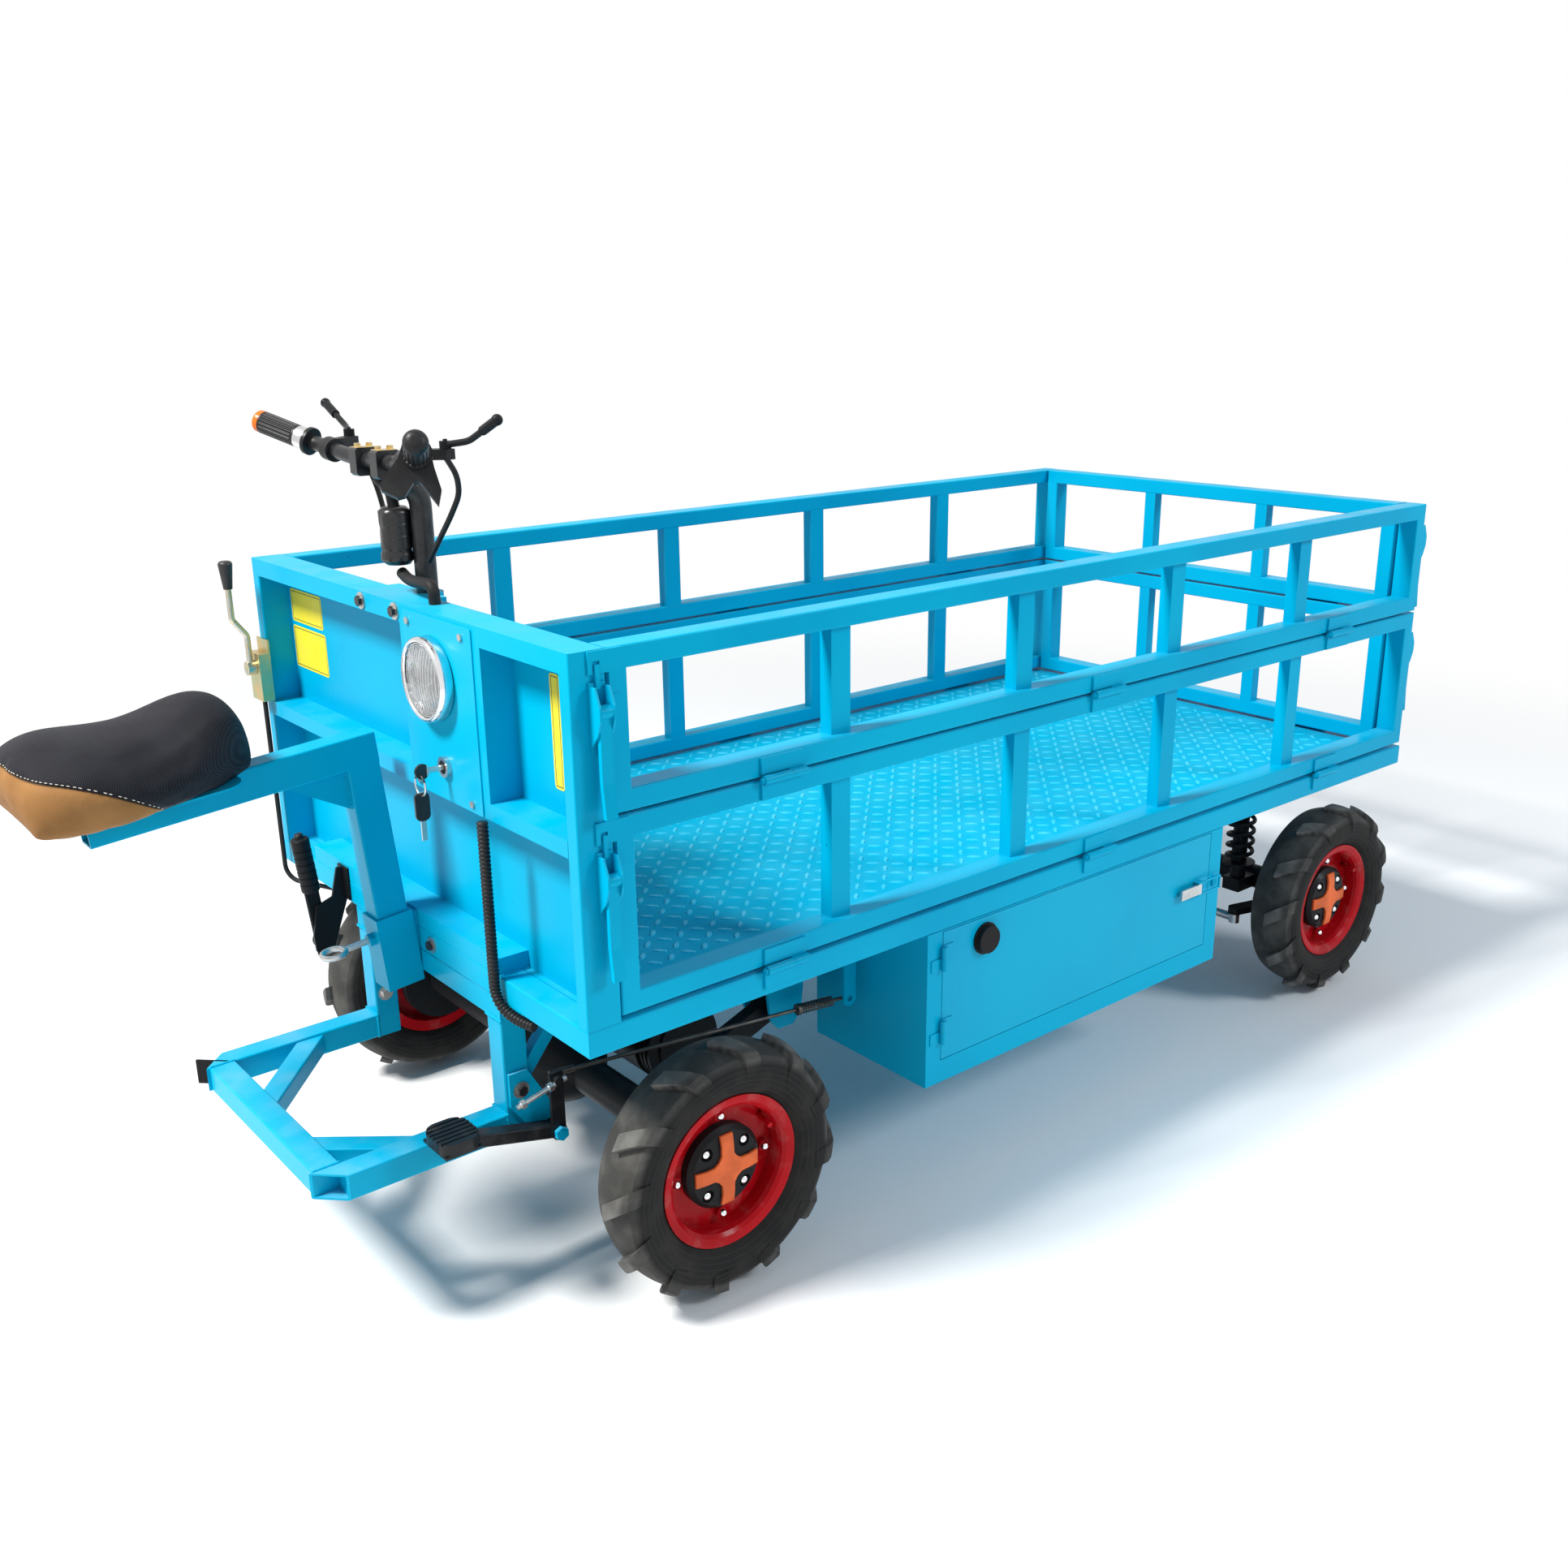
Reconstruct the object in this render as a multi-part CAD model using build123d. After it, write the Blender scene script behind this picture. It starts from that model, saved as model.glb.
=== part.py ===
from build123d import *
import math
import os

# Electric platform trolley, in millimetres.
# It is laid out from the headboard's front face: +X runs along the deck to the far end,
# +Y to the left and +Z up from the ground. At the end everything moves along X,
# so that the origin lies on the ground under the middle.

# Fits
RUN = 0.05            # round pins and shafts that turn
SLIDE = 0.4           # square tube in square tube, each side
NEAR = 0.3            # faces that pass or rest close to each other
GATE_GAP = 3.0        # between neighbouring gates and posts

# Deck and base frame
DECK_LENGTH = 2012.0
DECK_WIDTH = 1000.0
RAIL_BOTTOM = 464.0
RAIL_HEIGHT = 39.0
RAIL_WIDTH = 40.0
TUBE_ROUND = 3.0
DECK_SHEET = 3.0
CROSS_COUNT = 8
CROSS_WIDTH = 40.0
SILL_Y = 200.0        # two long members under the cross tubes
SILL_WIDTH = 40.0
SILL_HEIGHT = 30.0

# Gates
LOWER_RISE = 7.0      # rail top to lower gate
LOWER_HEIGHT = 276.0
UPPER_RISE = 4.0      # lower gate to upper gate
UPPER_HEIGHT = 216.0
GATE_DEPTH = 40.0
GATE_BAR = 30.0
BALUSTER_WIDTH = 36.0
BALUSTER_DEPTH = 24.0
SIDE_BALUSTERS = 4
END_BALUSTERS = 2
END_BALUSTER_WIDTH = 28.0

# Barrel hinges
HINGE_OUT = 8.0       # pin centre in front of the gate's face
HINGE_LEAF = 75.0
HINGE_TALL = 30.0
HINGE_SHEET = 4.0
KNUCKLE_R = 6.5
KNUCKLE_LONG = 48.0
HINGE_PIN_R = 4.0
HINGE_PIN_END = 4.0
SIDE_HINGE_FIRST = 330.0
SIDE_HINGE_PITCH = 695.0
SIDE_HINGES = 3
END_HINGE_Y = 280.0

# Over-centre latches
LATCH_HALF = 12.0
LATCH_SHEET = 3.0
LATCH_PIVOT_OUT = 16.0
LATCH_PIVOT_DROP = 75.0
LATCH_PIN_R = 4.0
LATCH_BOSS_R = 9.0
LATCH_CHEEK = 3.0
LATCH_BASE_DROP = 40.0
LATCH_BASE_TALL = 92.0
LATCH_HANDLE_DROP = 212.0
LATCH_HANDLE_THICK = 7.0
LATCH_FINGER = 6.0
LATCH_FINGER_TOP = 18.0
CATCH_SHEET = 3.0
CATCH_BAND = 30.0
CATCH_FOOT = 57.0
CATCH_ON = 21.0
CATCH_EDGE = 1.0
CATCH_SLOT_TOP = 14.0
CATCH_SLOT = 10.0
CATCH_OVER_END = 10.0
NEAR_LATCH_X = 38.0
FAR_LATCH_IN = 18.0   # latch centre inside the gate's face

# Headboard
POST_WIDTH = 25.0
POST_DEPTH = 53.0
TOP_RAIL = 28.0
MID_RAIL_BOTTOM = 738.0
MID_RAIL = 24.0
SHEET_X = 49.0
SHEET = 3.0
BEAM_RIGHT = -269.0
BEAM_LEFT = 361.0
BEAM_HEIGHT = 27.0
CONSOLE_RIGHT = -281.0
CONSOLE_LEFT = -50.0
COVER_RIGHT = -262.0
COVER_LEFT = -64.0
COVER_DROP = 6.0
COVER_SHEET = 2.0

# Headlight and key
LIGHT_Y = -148.0
LIGHT_Z = 914.0
LIGHT_R = 61.0
LIGHT_DEPTH = 22.0
BEZEL_WIDTH = 8.0
LENS_CROWN = 9.0
KEY_Y = -165.0
KEY_Z = 790.0
SWITCH_R = 15.0
SWITCH_DEPTH = 7.0
KEY_R = 4.0
KEY_LENGTH = 30.0
KEY_HEAD = 22.0
KEY_SHEET = 4.0
KEY_RING_R = 15.0
KEY_WIRE_R = 1.5
FOB_LENGTH = 42.0
FOB_WIDTH = 22.0
FOB_BLADE = 29.0
FOB_BLADE_WIDTH = 8.0

# Shift box and gear lever
BOX_Y = 486.0
BOX_WIDTH = 46.0
BOX_DEPTH = 20.0
BOX_BOTTOM = 765.0
BOX_HEIGHT = 82.0
BOX_SHEET = 3.0
BOX_FLANGE = 23.0
SHIFT_Z = 822.0
SHIFT_PIN_R = 5.0
SHIFT_HUB_R = 12.0
SHIFT_HUB = 14.0
SHIFT_ROD_R = 5.0
SHIFT_CRANK = 22.0
KNOB_FOOT_R = 7.3
KNOB_R = 11.7
KNOB_LENGTH = 47.0
KNOB_ROUND = 6.0
SHIFT_ROD_TOP = 966.0

# Parking brake
PARK_Y = 245.0        # the bracket's left face
PARK_SHEET = 5.0
PARK_PIVOT_X = -48.0
PARK_PIVOT_Z = 405.0
PARK_PIN_R = 5.0
PARK_BOSS_R = 15.0
PARK_LEVER_SHEET = 8.0
PARK_GRIP_R = 15.0
PARK_GRIP_FROM = 88.0
PARK_GRIP_LENGTH = 95.0
PARK_LEAN = 6.0       # degrees back from upright
PARK_GROOVES = 6
PARK_GROOVE = 4.0
PARK_GROOVE_DEEP = 1.4
PARK_BUTTON_R = 7.0
PARK_BUTTON = 10.0
PARK_BUTTON_TRAVEL = 6.0

# Steering column and handlebar
COLUMN_X = 72.0
COLUMN_R = 16.0
COLUMN_FOOT = 412.0
COLUMN_BEND = 1148.0
STEM_X = 22.0
STEM_Z = 1190.0
COLUMN_BUSH_R = 23.0
COLUMN_BUSH = 35.0
BAR_R = 11.0
BAR_X = 8.0
BAR_Z = 1199.0
BAR_MID_Y = 60.0
GRIP_FROM = (-5.0, 158.0, 1213.0)
GRIP_TO = (-51.0, 251.0, 1244.0)
GRIP_R = 16.5
GRIP_STEP = 12.0      # grip starts past the bend
CLAMP_Y = 33.0
CLAMP_HALF = 18.0
CLAMP_LOW = 22.0
CLAMP_WIDTH = 22.0
CLAMP_BOLT_R = 5.0
CASE_WIDTH = 20.0
PERCH_Y = 122.0
LEVER_X = 41.0
LEVER_Y = 151.0
LEVER_Z = 1228.0
LEVER_BALL = (58.0, 265.0, 1265.0)
LEVER_BALL_R = 7.5
LEVER_R = 4.5
LEVER_SLEEVE_R = 6.5
LEVER_BOSS_R = 8.0
LEVER_BOSS = 10.0
LEVER_PIN_R = 3.0
PITMAN = 90.0
PITMAN_WIDTH = 30.0
PITMAN_SHEET = 10.0

# Conduit and cables
CONDUIT_X = -12.1
CONDUIT_Y = -276.0
CONDUIT_R = 8.0
CONDUIT_VALLEY_R = 6.6
CONDUIT_BORE_R = 5.2
CONDUIT_TOP = 739.0
CONDUIT_BEND_Z = 498.0
CONDUIT_BEND_R = 48.0
CONDUIT_RIBS = 56
CABLE_R = 4.0
HARNESS_R = 8.5
WRAP_R = 22.0
WRAP_RAISE = 42.0   # above the headboard
WRAP_DROP = 69.0   # below the bar
WRAP_TIE = 20.0   # from its foot to the tie
WRAP_ASIDE = (-0.772, 0.635)   # from the column, towards the rider's left

# Seat, built upright and then leaned back with its socket
LEAN = 5.3
SOCKET_X = -39.0
SOCKET_TOP = 530.0
SOCKET_DEPTH = 115.0
SOCKET_WALL = 4.0
POST_X = 50.0
POST_Y = 40.0
ARM_TOP = 287.0
ARM_HEIGHT = 48.0
ARM_REAR = 385.0
ARM_WALL = 3.0
SEAT_TRAVEL = 100.0
GUSSET_OUT = 95.0
GUSSET_DOWN = 62.0
GUSSET_SHEET = 20.0
PAN_SHEET = 3.0
PAN_FROM = 440.0
PAN_TO = 190.0
PAN_WIDTH = 180.0
SEAT_REAR = 462.0
SEAT_FRONT = 160.0
EYE_DROP = 36.0
EYE_R = 5.0
EYE_RING_R = 17.0
EYE_SHANK = 40.0
NUT_R = 11.0
NUT_TALL = 9.0

# Foot frame
FOOT_TUBE = 40.0
FOOT_TOP = 280.0
FOOT_REACH = 285.0
RIGHT_ARM_Y = -262.0
LEFT_ARM_Y = 168.0
FOOT_CROSS_X = 240.0
FOOT_WALL = 3.0
FOOT_OPEN = 40.0
CAP_SHEET = 4.0
STAY_R = 11.0
STAY_X = 150.0
STAY_Z = 322.0

# Foot brake
PEDAL_X = 67.0
PEDAL_Z = 241.0
PEDAL_PIN_R = 6.0
PEDAL_BOSS_R = 13.0
PEDAL_BRACKET = 6.0
PEDAL_WIDTH = 26.0
PEDAL_ARM_X = -108.0
PEDAL_ARM_Z = 296.0
PEDAL_PAD = 18.0
PAD_GROOVES = 6
PAD_GROOVE = 3.0
PEDAL_UP = 86.0
PEDAL_STRAP = 6.0
BRAKE_CABLE_R = 3.0
CLEVIS_R = 5.0
LINK_X = 591.0
LINK_Y = -352.0
LINK_Z = 395.0
LINK_DROP = 82.0
LINK_SHEET = 5.0
LINK_WIDTH = 26.0
LINK_PIN_R = 5.0
RETURN_COIL_R = 7.5
RETURN_WIRE_R = 1.3
RETURN_TURNS = 12
RETURN_LENGTH = 62.0

# Battery box
BATTERY_X = 620.0
BATTERY_LENGTH = 772.0
BATTERY_INNER_Y = -235.0
BATTERY_BOTTOM = 198.0
BOX_WALL = 2.0
DOOR_FROM_X = 653.0
DOOR_LENGTH = 704.0
DOOR_BOTTOM = 237.0
DOOR_TOP_GAP = 2.0
DOOR_GAP = 1.5
DOOR_DEPTH = 14.0
DOOR_HINGE_OUT = 6.0
DOOR_KNUCKLE_R = 5.0
DOOR_HINGE_TALL = 40.0
DOOR_PIN_R = 2.5
DOOR_HINGES = (290.0, 418.0)
DOOR_LEAF = 24.0
PORT_X = 750.0
PORT_Z = 424.0
PORT_R = 23.0
PORT_DEPTH = 12.0
DOOR_LATCH_Z = 363.0
DOOR_LATCH_X = 1320.0
DOOR_LATCH_OUT = 8.0
DOOR_LATCH_PIN_R = 2.0
CELLS = 5
CELL_GAP = 6.0
CELL_HEIGHT = 195.0
CELL_INSET = 22.0

# Wheels
AXLE_Z = 202.0
TYRE_R = 202.0
TYRE_HALF = 49.5
CARCASS_R = 189.0
LUGS = 12
LUG_LENGTH_T = 36.0   # how far a lug sweeps back round the tread
LUG_WIDTH = 27.0
LUG_START = 3.0
RIM_FLANGE_R = 119.0
RIM_SEAT_R = 102.0
RIM_INNER_R = 98.0
RIM_HALF = 36.0
RIM_LIP = 3.0
DISC_AT = -5.0
DISC_SHEET = 6.0
HUB_R = 28.0
HUB_BACK = -42.0
HUB_FRONT = 10.0
STUB_R = 15.0
CAP_R = 66.0
CAP_TALL = 24.0
CAP_RECESS_PCD_R = 48.0
CAP_RECESS_R = 10.0
CAP_RECESS = 8.0
RIM_BOLT_PCD_R = 81.0
RIM_BOLT_R = 8.0
RIM_BOLT = 8.0
RIM_BOLTS = 4
WHEEL_Y = 459.0

# Driven axle
REAR_X = 231.0
AXLE_TUBE_R = 30.0
DRUM_R = 78.0
DRUM_WIDTH = 20.0
DRUM_IN = 388.0
DIFF_R = 85.0
DIFF_HALF = 50.0
DIFF_TAPER = 65.0
PIVOT_X = 500.0
PIVOT_Z = 300.0
PIVOT_Y = 260.0
PIVOT_PIN_R = 8.0
BUSH_R = 22.0
BUSH_LENGTH = 60.0
TRAIL_TALL = 40.0
TRAIL_WIDE = 25.0
HANGER_SHEET = 6.0
HANGER_WIDTH = 64.0
MOTOR_DX = 168.0
MOTOR_DZ = 14.0
MOTOR_R = 75.0
MOTOR_LENGTH = 205.0
GEARCASE_R = 60.0
GEARCASE = 50.0
GEARCASE_Y = 55.0

# Steered axle
FRONT_X = 1820.0
BEAM_R = 25.0
KINGPIN_Y = 365.0
KINGPIN_R = 9.0
BOSS_R = 22.0
BOSS_HALF = 34.0
FORK_SHEET = 14.0
FORK_HALF = 22.0
STUB_FLANGE_Y = 396.0
STUB_FLANGE = 11.0
ARM_DX = 110.0        # tie rod arm, back from the kingpin
ARM_DY = 30.0
DRAG_ARM = 130.0      # drag link arm, inwards from the left kingpin
DRAG_FORWARD = 85.0    # and past the axle
DRAG_ARM_Z = 300.0     # underside, above the beam at full bump
DRAG_POST_R = 14.0
BALL_R = 11.0
BALL_TALL = 20.0
STEER_ROD_R = 9.0
DRAG_R = 9.0
DRAG_SAG = 1.5   # the rod meets the far ball a little low, clear of the arm that turns over it

# Coil-over shocks
SHOCK_X = 1763.0
SHOCK_Y = 300.0
SHOCK_SEAT_Z = 250.0
SHOCK_TOP_Z = 446.0
SHOCK_CUP = 6.0
SHOCK_CUP_R = 34.0
SHOCK_ROD_R = 8.0
SHOCK_BODY_R = 16.0
SHOCK_TRAVEL = 36.0
COIL_R = 26.0
COIL_WIRE_R = 4.5
COIL_TURNS = 8

# Derived levels and limits
HALF_WIDTH = DECK_WIDTH / 2
RAIL_TOP = RAIL_BOTTOM + RAIL_HEIGHT
LOWER_Z = RAIL_TOP + LOWER_RISE
LOWER_TOP = LOWER_Z + LOWER_HEIGHT
UPPER_Z = LOWER_TOP + UPPER_RISE
TOP = UPPER_Z + UPPER_HEIGHT
WRAP_FOOT = TOP + WRAP_RAISE
WRAP_WAIST = WRAP_FOOT + WRAP_TIE
WRAP_TOP = BAR_Z - WRAP_DROP
LOWER_PIN_Z = (RAIL_TOP + LOWER_Z) / 2
UPPER_PIN_Z = (LOWER_TOP + UPPER_Z) / 2
SIDE_GATE_X = POST_DEPTH + GATE_GAP - 1
SIDE_GATE_LENGTH = DECK_LENGTH - 2 - SIDE_GATE_X
END_GATE_HALF = HALF_WIDTH - GATE_DEPTH - GATE_GAP
FOOT_BOTTOM = FOOT_TOP - FOOT_TUBE


def block(x0, x1, y0, y1, z0, z1):
    """Box between limits."""
    middle = Pos((x0 + x1) / 2, (y0 + y1) / 2, (z0 + z1) / 2)
    return middle * Box(x1 - x0, y1 - y0, z1 - z0)


def rod(start, end, radius):
    """Round bar between two points."""
    axis = Vector(*end) - Vector(*start)
    low = (Align.CENTER, Align.CENTER, Align.MIN)
    return Plane(origin=start, z_dir=axis) * Cylinder(radius, axis.length, align=low)


def bar(start, end, wide, deep, across=(0, 1, 0)):
    """Rectangular tube between two points, wide along the direction across."""
    axis = Vector(*end) - Vector(*start)
    place = Plane(origin=start, x_dir=across, z_dir=axis)
    return extrude(place * RectangleRounded(wide, deep, TUBE_ROUND), amount=axis.length)


def plate(place, outline, thick, way):
    """Flat plate of an outline, grown in the given direction."""
    return extrude(place * outline, amount=thick, dir=way)


def hexagon(base, direction, radius, tall):
    """Hexagon head or nut standing on a point."""
    return extrude(Plane(origin=base, z_dir=direction) * RegularPolygon(radius, 6), amount=tall)


def pipe(points, radius, bend):
    """Round tube along straight runs joined by arcs."""
    path = FilletPolyline(*points, radius=bend)
    first = Vector(*points[1]) - Vector(*points[0])
    return sweep(Plane(origin=points[0], z_dir=first) * Circle(radius), path=path)


def cord(points, radius, name):
    """Cable along a route laid by hand, each bend as wide as its two runs allow."""
    spots = [Vector(*point) for point in points]
    bends = []
    for a, b, c in zip(spots, spots[1:], spots[2:]):
        half_turn = math.radians((b - a).get_angle(c - b)) / 2
        reach = 0.45 * min((b - a).length, (c - b).length)
        bends.append(reach / math.tan(half_turn))
    path = FilletPolyline(*points, radius=bends)
    tube = sweep(Plane(origin=points[0], z_dir=spots[1] - spots[0]) * Circle(radius), path=path)
    length = tube.volume / (math.pi * radius * radius)
    print(f"{name}: bends of {', '.join(f'{bend:.0f}' for bend in bends)} mm")
    print(f"{name}: {path.length:.1f} mm long, {length:.1f} mm by its volume")
    return tube


def biarc(p, q, tangent_p, tangent_q):
    """Two arcs that join p and q with the given directions."""
    chord = q - p
    both = tangent_p + tangent_q
    spread = 2 * (1 - tangent_p.dot(tangent_q))
    lean = chord.dot(both)
    reach = (math.sqrt(lean * lean + spread * chord.dot(chord)) - lean) / spread
    a = p + tangent_p * reach
    b = q - tangent_q * reach
    middle = (a + b) * 0.5
    return [TangentArc(p, middle, tangent=tangent_p), TangentArc(middle, q, tangent=b - a)]


def coil(radius, wire, turns, length, name):
    """Compression spring from the ground plane up, as one tube."""
    steps = turns * 2
    rise = length / steps
    slope = rise / math.pi

    def at(half_turns):
        angle = math.pi * half_turns
        point = Vector(radius * math.cos(angle), radius * math.sin(angle), rise * half_turns)
        way = Vector(-radius * math.sin(angle), radius * math.cos(angle), slope)
        return point, way.normalized()

    arcs = []
    for step in range(steps):
        p, way_p = at(step)
        q, way_q = at(step + 1)
        arcs += biarc(p, q, way_p, way_q)
    path = Wire(arcs)
    spots = [path @ (i / (60 * turns)) for i in range(60 * turns + 1)]
    apart = min(
        (spots[i] - spots[j]).length
        for i in range(len(spots))
        for j in range(i + 40, min(i + 90, len(spots)))
    )
    print(f"{name}: least gap between turns {apart - 2 * wire:.2f} mm")
    start, way = at(0)
    return sweep(Plane(origin=start, z_dir=way) * Circle(wire), path=path)


def dome(edge, rise, crown):
    """Arc from an edge up to the axis, level where it ends."""
    radius = (edge * edge + crown * crown) / (2 * crown)
    middle = rise + crown - radius + math.sqrt(radius * radius - edge * edge / 4)
    return ThreePointArc((edge, rise), (edge / 2, middle), (0, rise + crown))


def left_of(shape):
    """The same piece on the other side."""
    return mirror(shape, about=Plane.XZ)


# Gates, in their own frame: X along, outer face at Y 0, Z up from the gate's lower edge

def hinge_below(x, pin_z):
    """Leaf under the pin, with the long knuckle and the pin."""
    x0 = x - HINGE_LEAF / 2
    x1 = x + HINGE_LEAF / 2
    split = x0 + KNUCKLE_LONG
    low = pin_z - HINGE_TALL
    leaf = block(x0, x1, 0, HINGE_SHEET, low, pin_z - KNUCKLE_R - NEAR)
    leaf += block(x0, split, 0, HINGE_SHEET, low, pin_z)
    leaf += rod((x0, HINGE_OUT, pin_z), (split, HINGE_OUT, pin_z), KNUCKLE_R)
    ends = (x0 - HINGE_PIN_END, HINGE_OUT, pin_z), (x1 + HINGE_PIN_END, HINGE_OUT, pin_z)
    return leaf + rod(*ends, HINGE_PIN_R)


def hinge_above(x, pin_z):
    """Leaf over the pin, with the short knuckle that turns on it."""
    x0 = x - HINGE_LEAF / 2
    x1 = x + HINGE_LEAF / 2
    split = x0 + KNUCKLE_LONG + NEAR
    high = pin_z + HINGE_TALL
    leaf = block(x0, x1, 0, HINGE_SHEET, pin_z + KNUCKLE_R + NEAR, high)
    leaf += block(split, x1, 0, HINGE_SHEET, pin_z, high)
    leaf += rod((split, HINGE_OUT, pin_z), (x1, HINGE_OUT, pin_z), KNUCKLE_R)
    return leaf - rod((x0, HINGE_OUT, pin_z), (x1 + 1, HINGE_OUT, pin_z), HINGE_PIN_R + RUN)


def side_hinges():
    return [SIDE_HINGE_FIRST + i * SIDE_HINGE_PITCH - SIDE_GATE_X for i in range(SIDE_HINGES)]


def end_hinges():
    return [END_GATE_HALF - END_HINGE_Y, END_GATE_HALF + END_HINGE_Y]


def gate_frame(length, height, count, width):
    """Mitred tube frame with upright bars set back from its outer face."""
    body = block(0, length, -GATE_DEPTH, 0, 0, height)
    body -= block(GATE_BAR, length - GATE_BAR, -GATE_DEPTH, 0, GATE_BAR, height - GATE_BAR)
    body = fillet(body.faces().filter_by(Axis.Y).edges(), TUBE_ROUND)
    clear = (length - 2 * GATE_BAR - count * width) / (count + 1)
    for i in range(count):
        x = GATE_BAR + clear + i * (clear + width)
        low = GATE_BAR - 1
        body += block(x, x + width, -GATE_DEPTH, BALUSTER_DEPTH - GATE_DEPTH, low, height - low)
    return body


def catch(height, over, slot_x):
    """Strike plate on a stile, with a band that reaches past the gate's end."""
    foot = block(CATCH_EDGE, CATCH_ON, 0, CATCH_SHEET, height - CATCH_FOOT, height - CATCH_EDGE)
    band = block(-over, CATCH_ON, NEAR, CATCH_SHEET, height - CATCH_BAND, height - CATCH_EDGE)
    if slot_x is not None:
        low = height - CATCH_BAND - 1
        high = height - CATCH_SLOT_TOP
        half = CATCH_SLOT / 2
        band -= block(slot_x - half, slot_x + half, 0, CATCH_SHEET + 1, low, high)
    return foot + band


def side_gate(height, rise, hinged_above):
    """Long gate with its hinges, near catch plate and far latch base."""
    body = gate_frame(SIDE_GATE_LENGTH, height, SIDE_BALUSTERS, BALUSTER_WIDTH)
    for x in side_hinges():
        body += hinge_above(x, -rise / 2)
        if hinged_above:
            body += hinge_below(x, height + UPPER_RISE / 2)
    reach = SIDE_GATE_X - NEAR_LATCH_X + LATCH_HALF
    body += catch(height, reach, NEAR_LATCH_X - SIDE_GATE_X)
    return body + far_latch(height) * latch_base()


def end_gate(height, rise, hinged_above):
    """Far gate between the two long ones."""
    length = 2 * END_GATE_HALF
    body = gate_frame(length, height, END_BALUSTERS, END_BALUSTER_WIDTH)
    for x in end_hinges():
        body += hinge_above(x, -rise / 2)
        if hinged_above:
            body += hinge_below(x, height + UPPER_RISE / 2)
    strike = catch(height, CATCH_OVER_END, None)
    other = Pos(length, 0, 0) * mirror(strike, about=Plane.YZ)
    return body + strike + other


# Latches, in their own frame: X across, Y out from the face, Z up from the gate's upper edge

def latch_base():
    """Folded base with two cheeks, the pivot pin and the draw finger."""
    low = -LATCH_BASE_DROP - LATCH_BASE_TALL
    out = LATCH_PIVOT_OUT + LATCH_BOSS_R
    body = block(-LATCH_HALF, LATCH_HALF, 0, LATCH_SHEET, low, -LATCH_BASE_DROP)
    profile = Polygon(
        (0, low + 8), (out - 8, -LATCH_PIVOT_DROP - 30), (out, -LATCH_PIVOT_DROP - 10),
        (out, -LATCH_PIVOT_DROP + 8), (out - 10, -LATCH_BASE_DROP - 4), (0, -LATCH_BASE_DROP - 4),
        align=None,
    )
    for x in (-LATCH_HALF, LATCH_HALF - LATCH_CHEEK):
        place = Plane(origin=(x, 0, 0), x_dir=(0, 1, 0), z_dir=(1, 0, 0))
        body += plate(place, profile, LATCH_CHEEK, (1, 0, 0))
    pin = (-LATCH_HALF, LATCH_PIVOT_OUT, -LATCH_PIVOT_DROP), (LATCH_HALF, LATCH_PIVOT_OUT, -LATCH_PIVOT_DROP)
    body += rod(*pin, LATCH_PIN_R)
    half = LATCH_FINGER / 2
    return body + block(-half, half, 0, LATCH_FINGER, -LATCH_BASE_DROP - 8, -LATCH_FINGER_TOP)


def latch_lever():
    """Handle with its eye on the pin and a lip to pull at the end."""
    y = LATCH_PIVOT_OUT
    z = -LATCH_PIVOT_DROP
    end = -LATCH_HANDLE_DROP
    thick = LATCH_HANDLE_THICK
    half = LATCH_HALF - LATCH_CHEEK - NEAR
    profile = Polygon(
        (y - thick / 2, z), (y - thick / 2, end + 45), (y - thick / 2 + 5, end),
        (y + thick / 2 + 5, end), (y + thick / 2, end + 45), (y + thick / 2, z),
        align=None,
    )
    place = Plane(origin=(-half, 0, 0), x_dir=(0, 1, 0), z_dir=(1, 0, 0))
    body = plate(place, profile, 2 * half, (1, 0, 0))
    body += rod((-half, y, z), (half, y, z), LATCH_BOSS_R)
    return body - rod((-half - 1, y, z), (half + 1, y, z), LATCH_PIN_R + RUN)


def near_latch(top):
    """Place of a latch on the left headboard post."""
    return Pos(NEAR_LATCH_X, HALF_WIDTH, top)


def far_latch(height):
    """Place of a latch on a long gate's far end, in the gate's frame."""
    return Pos(SIDE_GATE_LENGTH, -FAR_LATCH_IN, height) * Rot(0, 0, -90)


def left_gate_at(z):
    return Pos(SIDE_GATE_X, HALF_WIDTH, z)


def end_gate_at(z):
    return Pos(DECK_LENGTH, END_GATE_HALF, z) * Rot(0, 0, -90)


# Base frame and headboard

def cross_members():
    """X limits of the tubes across the deck."""
    first = RAIL_WIDTH + 60
    last = DECK_LENGTH - RAIL_WIDTH - 60 - CROSS_WIDTH
    pitch = (last - first) / (CROSS_COUNT - 1)
    return [first + i * pitch for i in range(CROSS_COUNT)]


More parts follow.
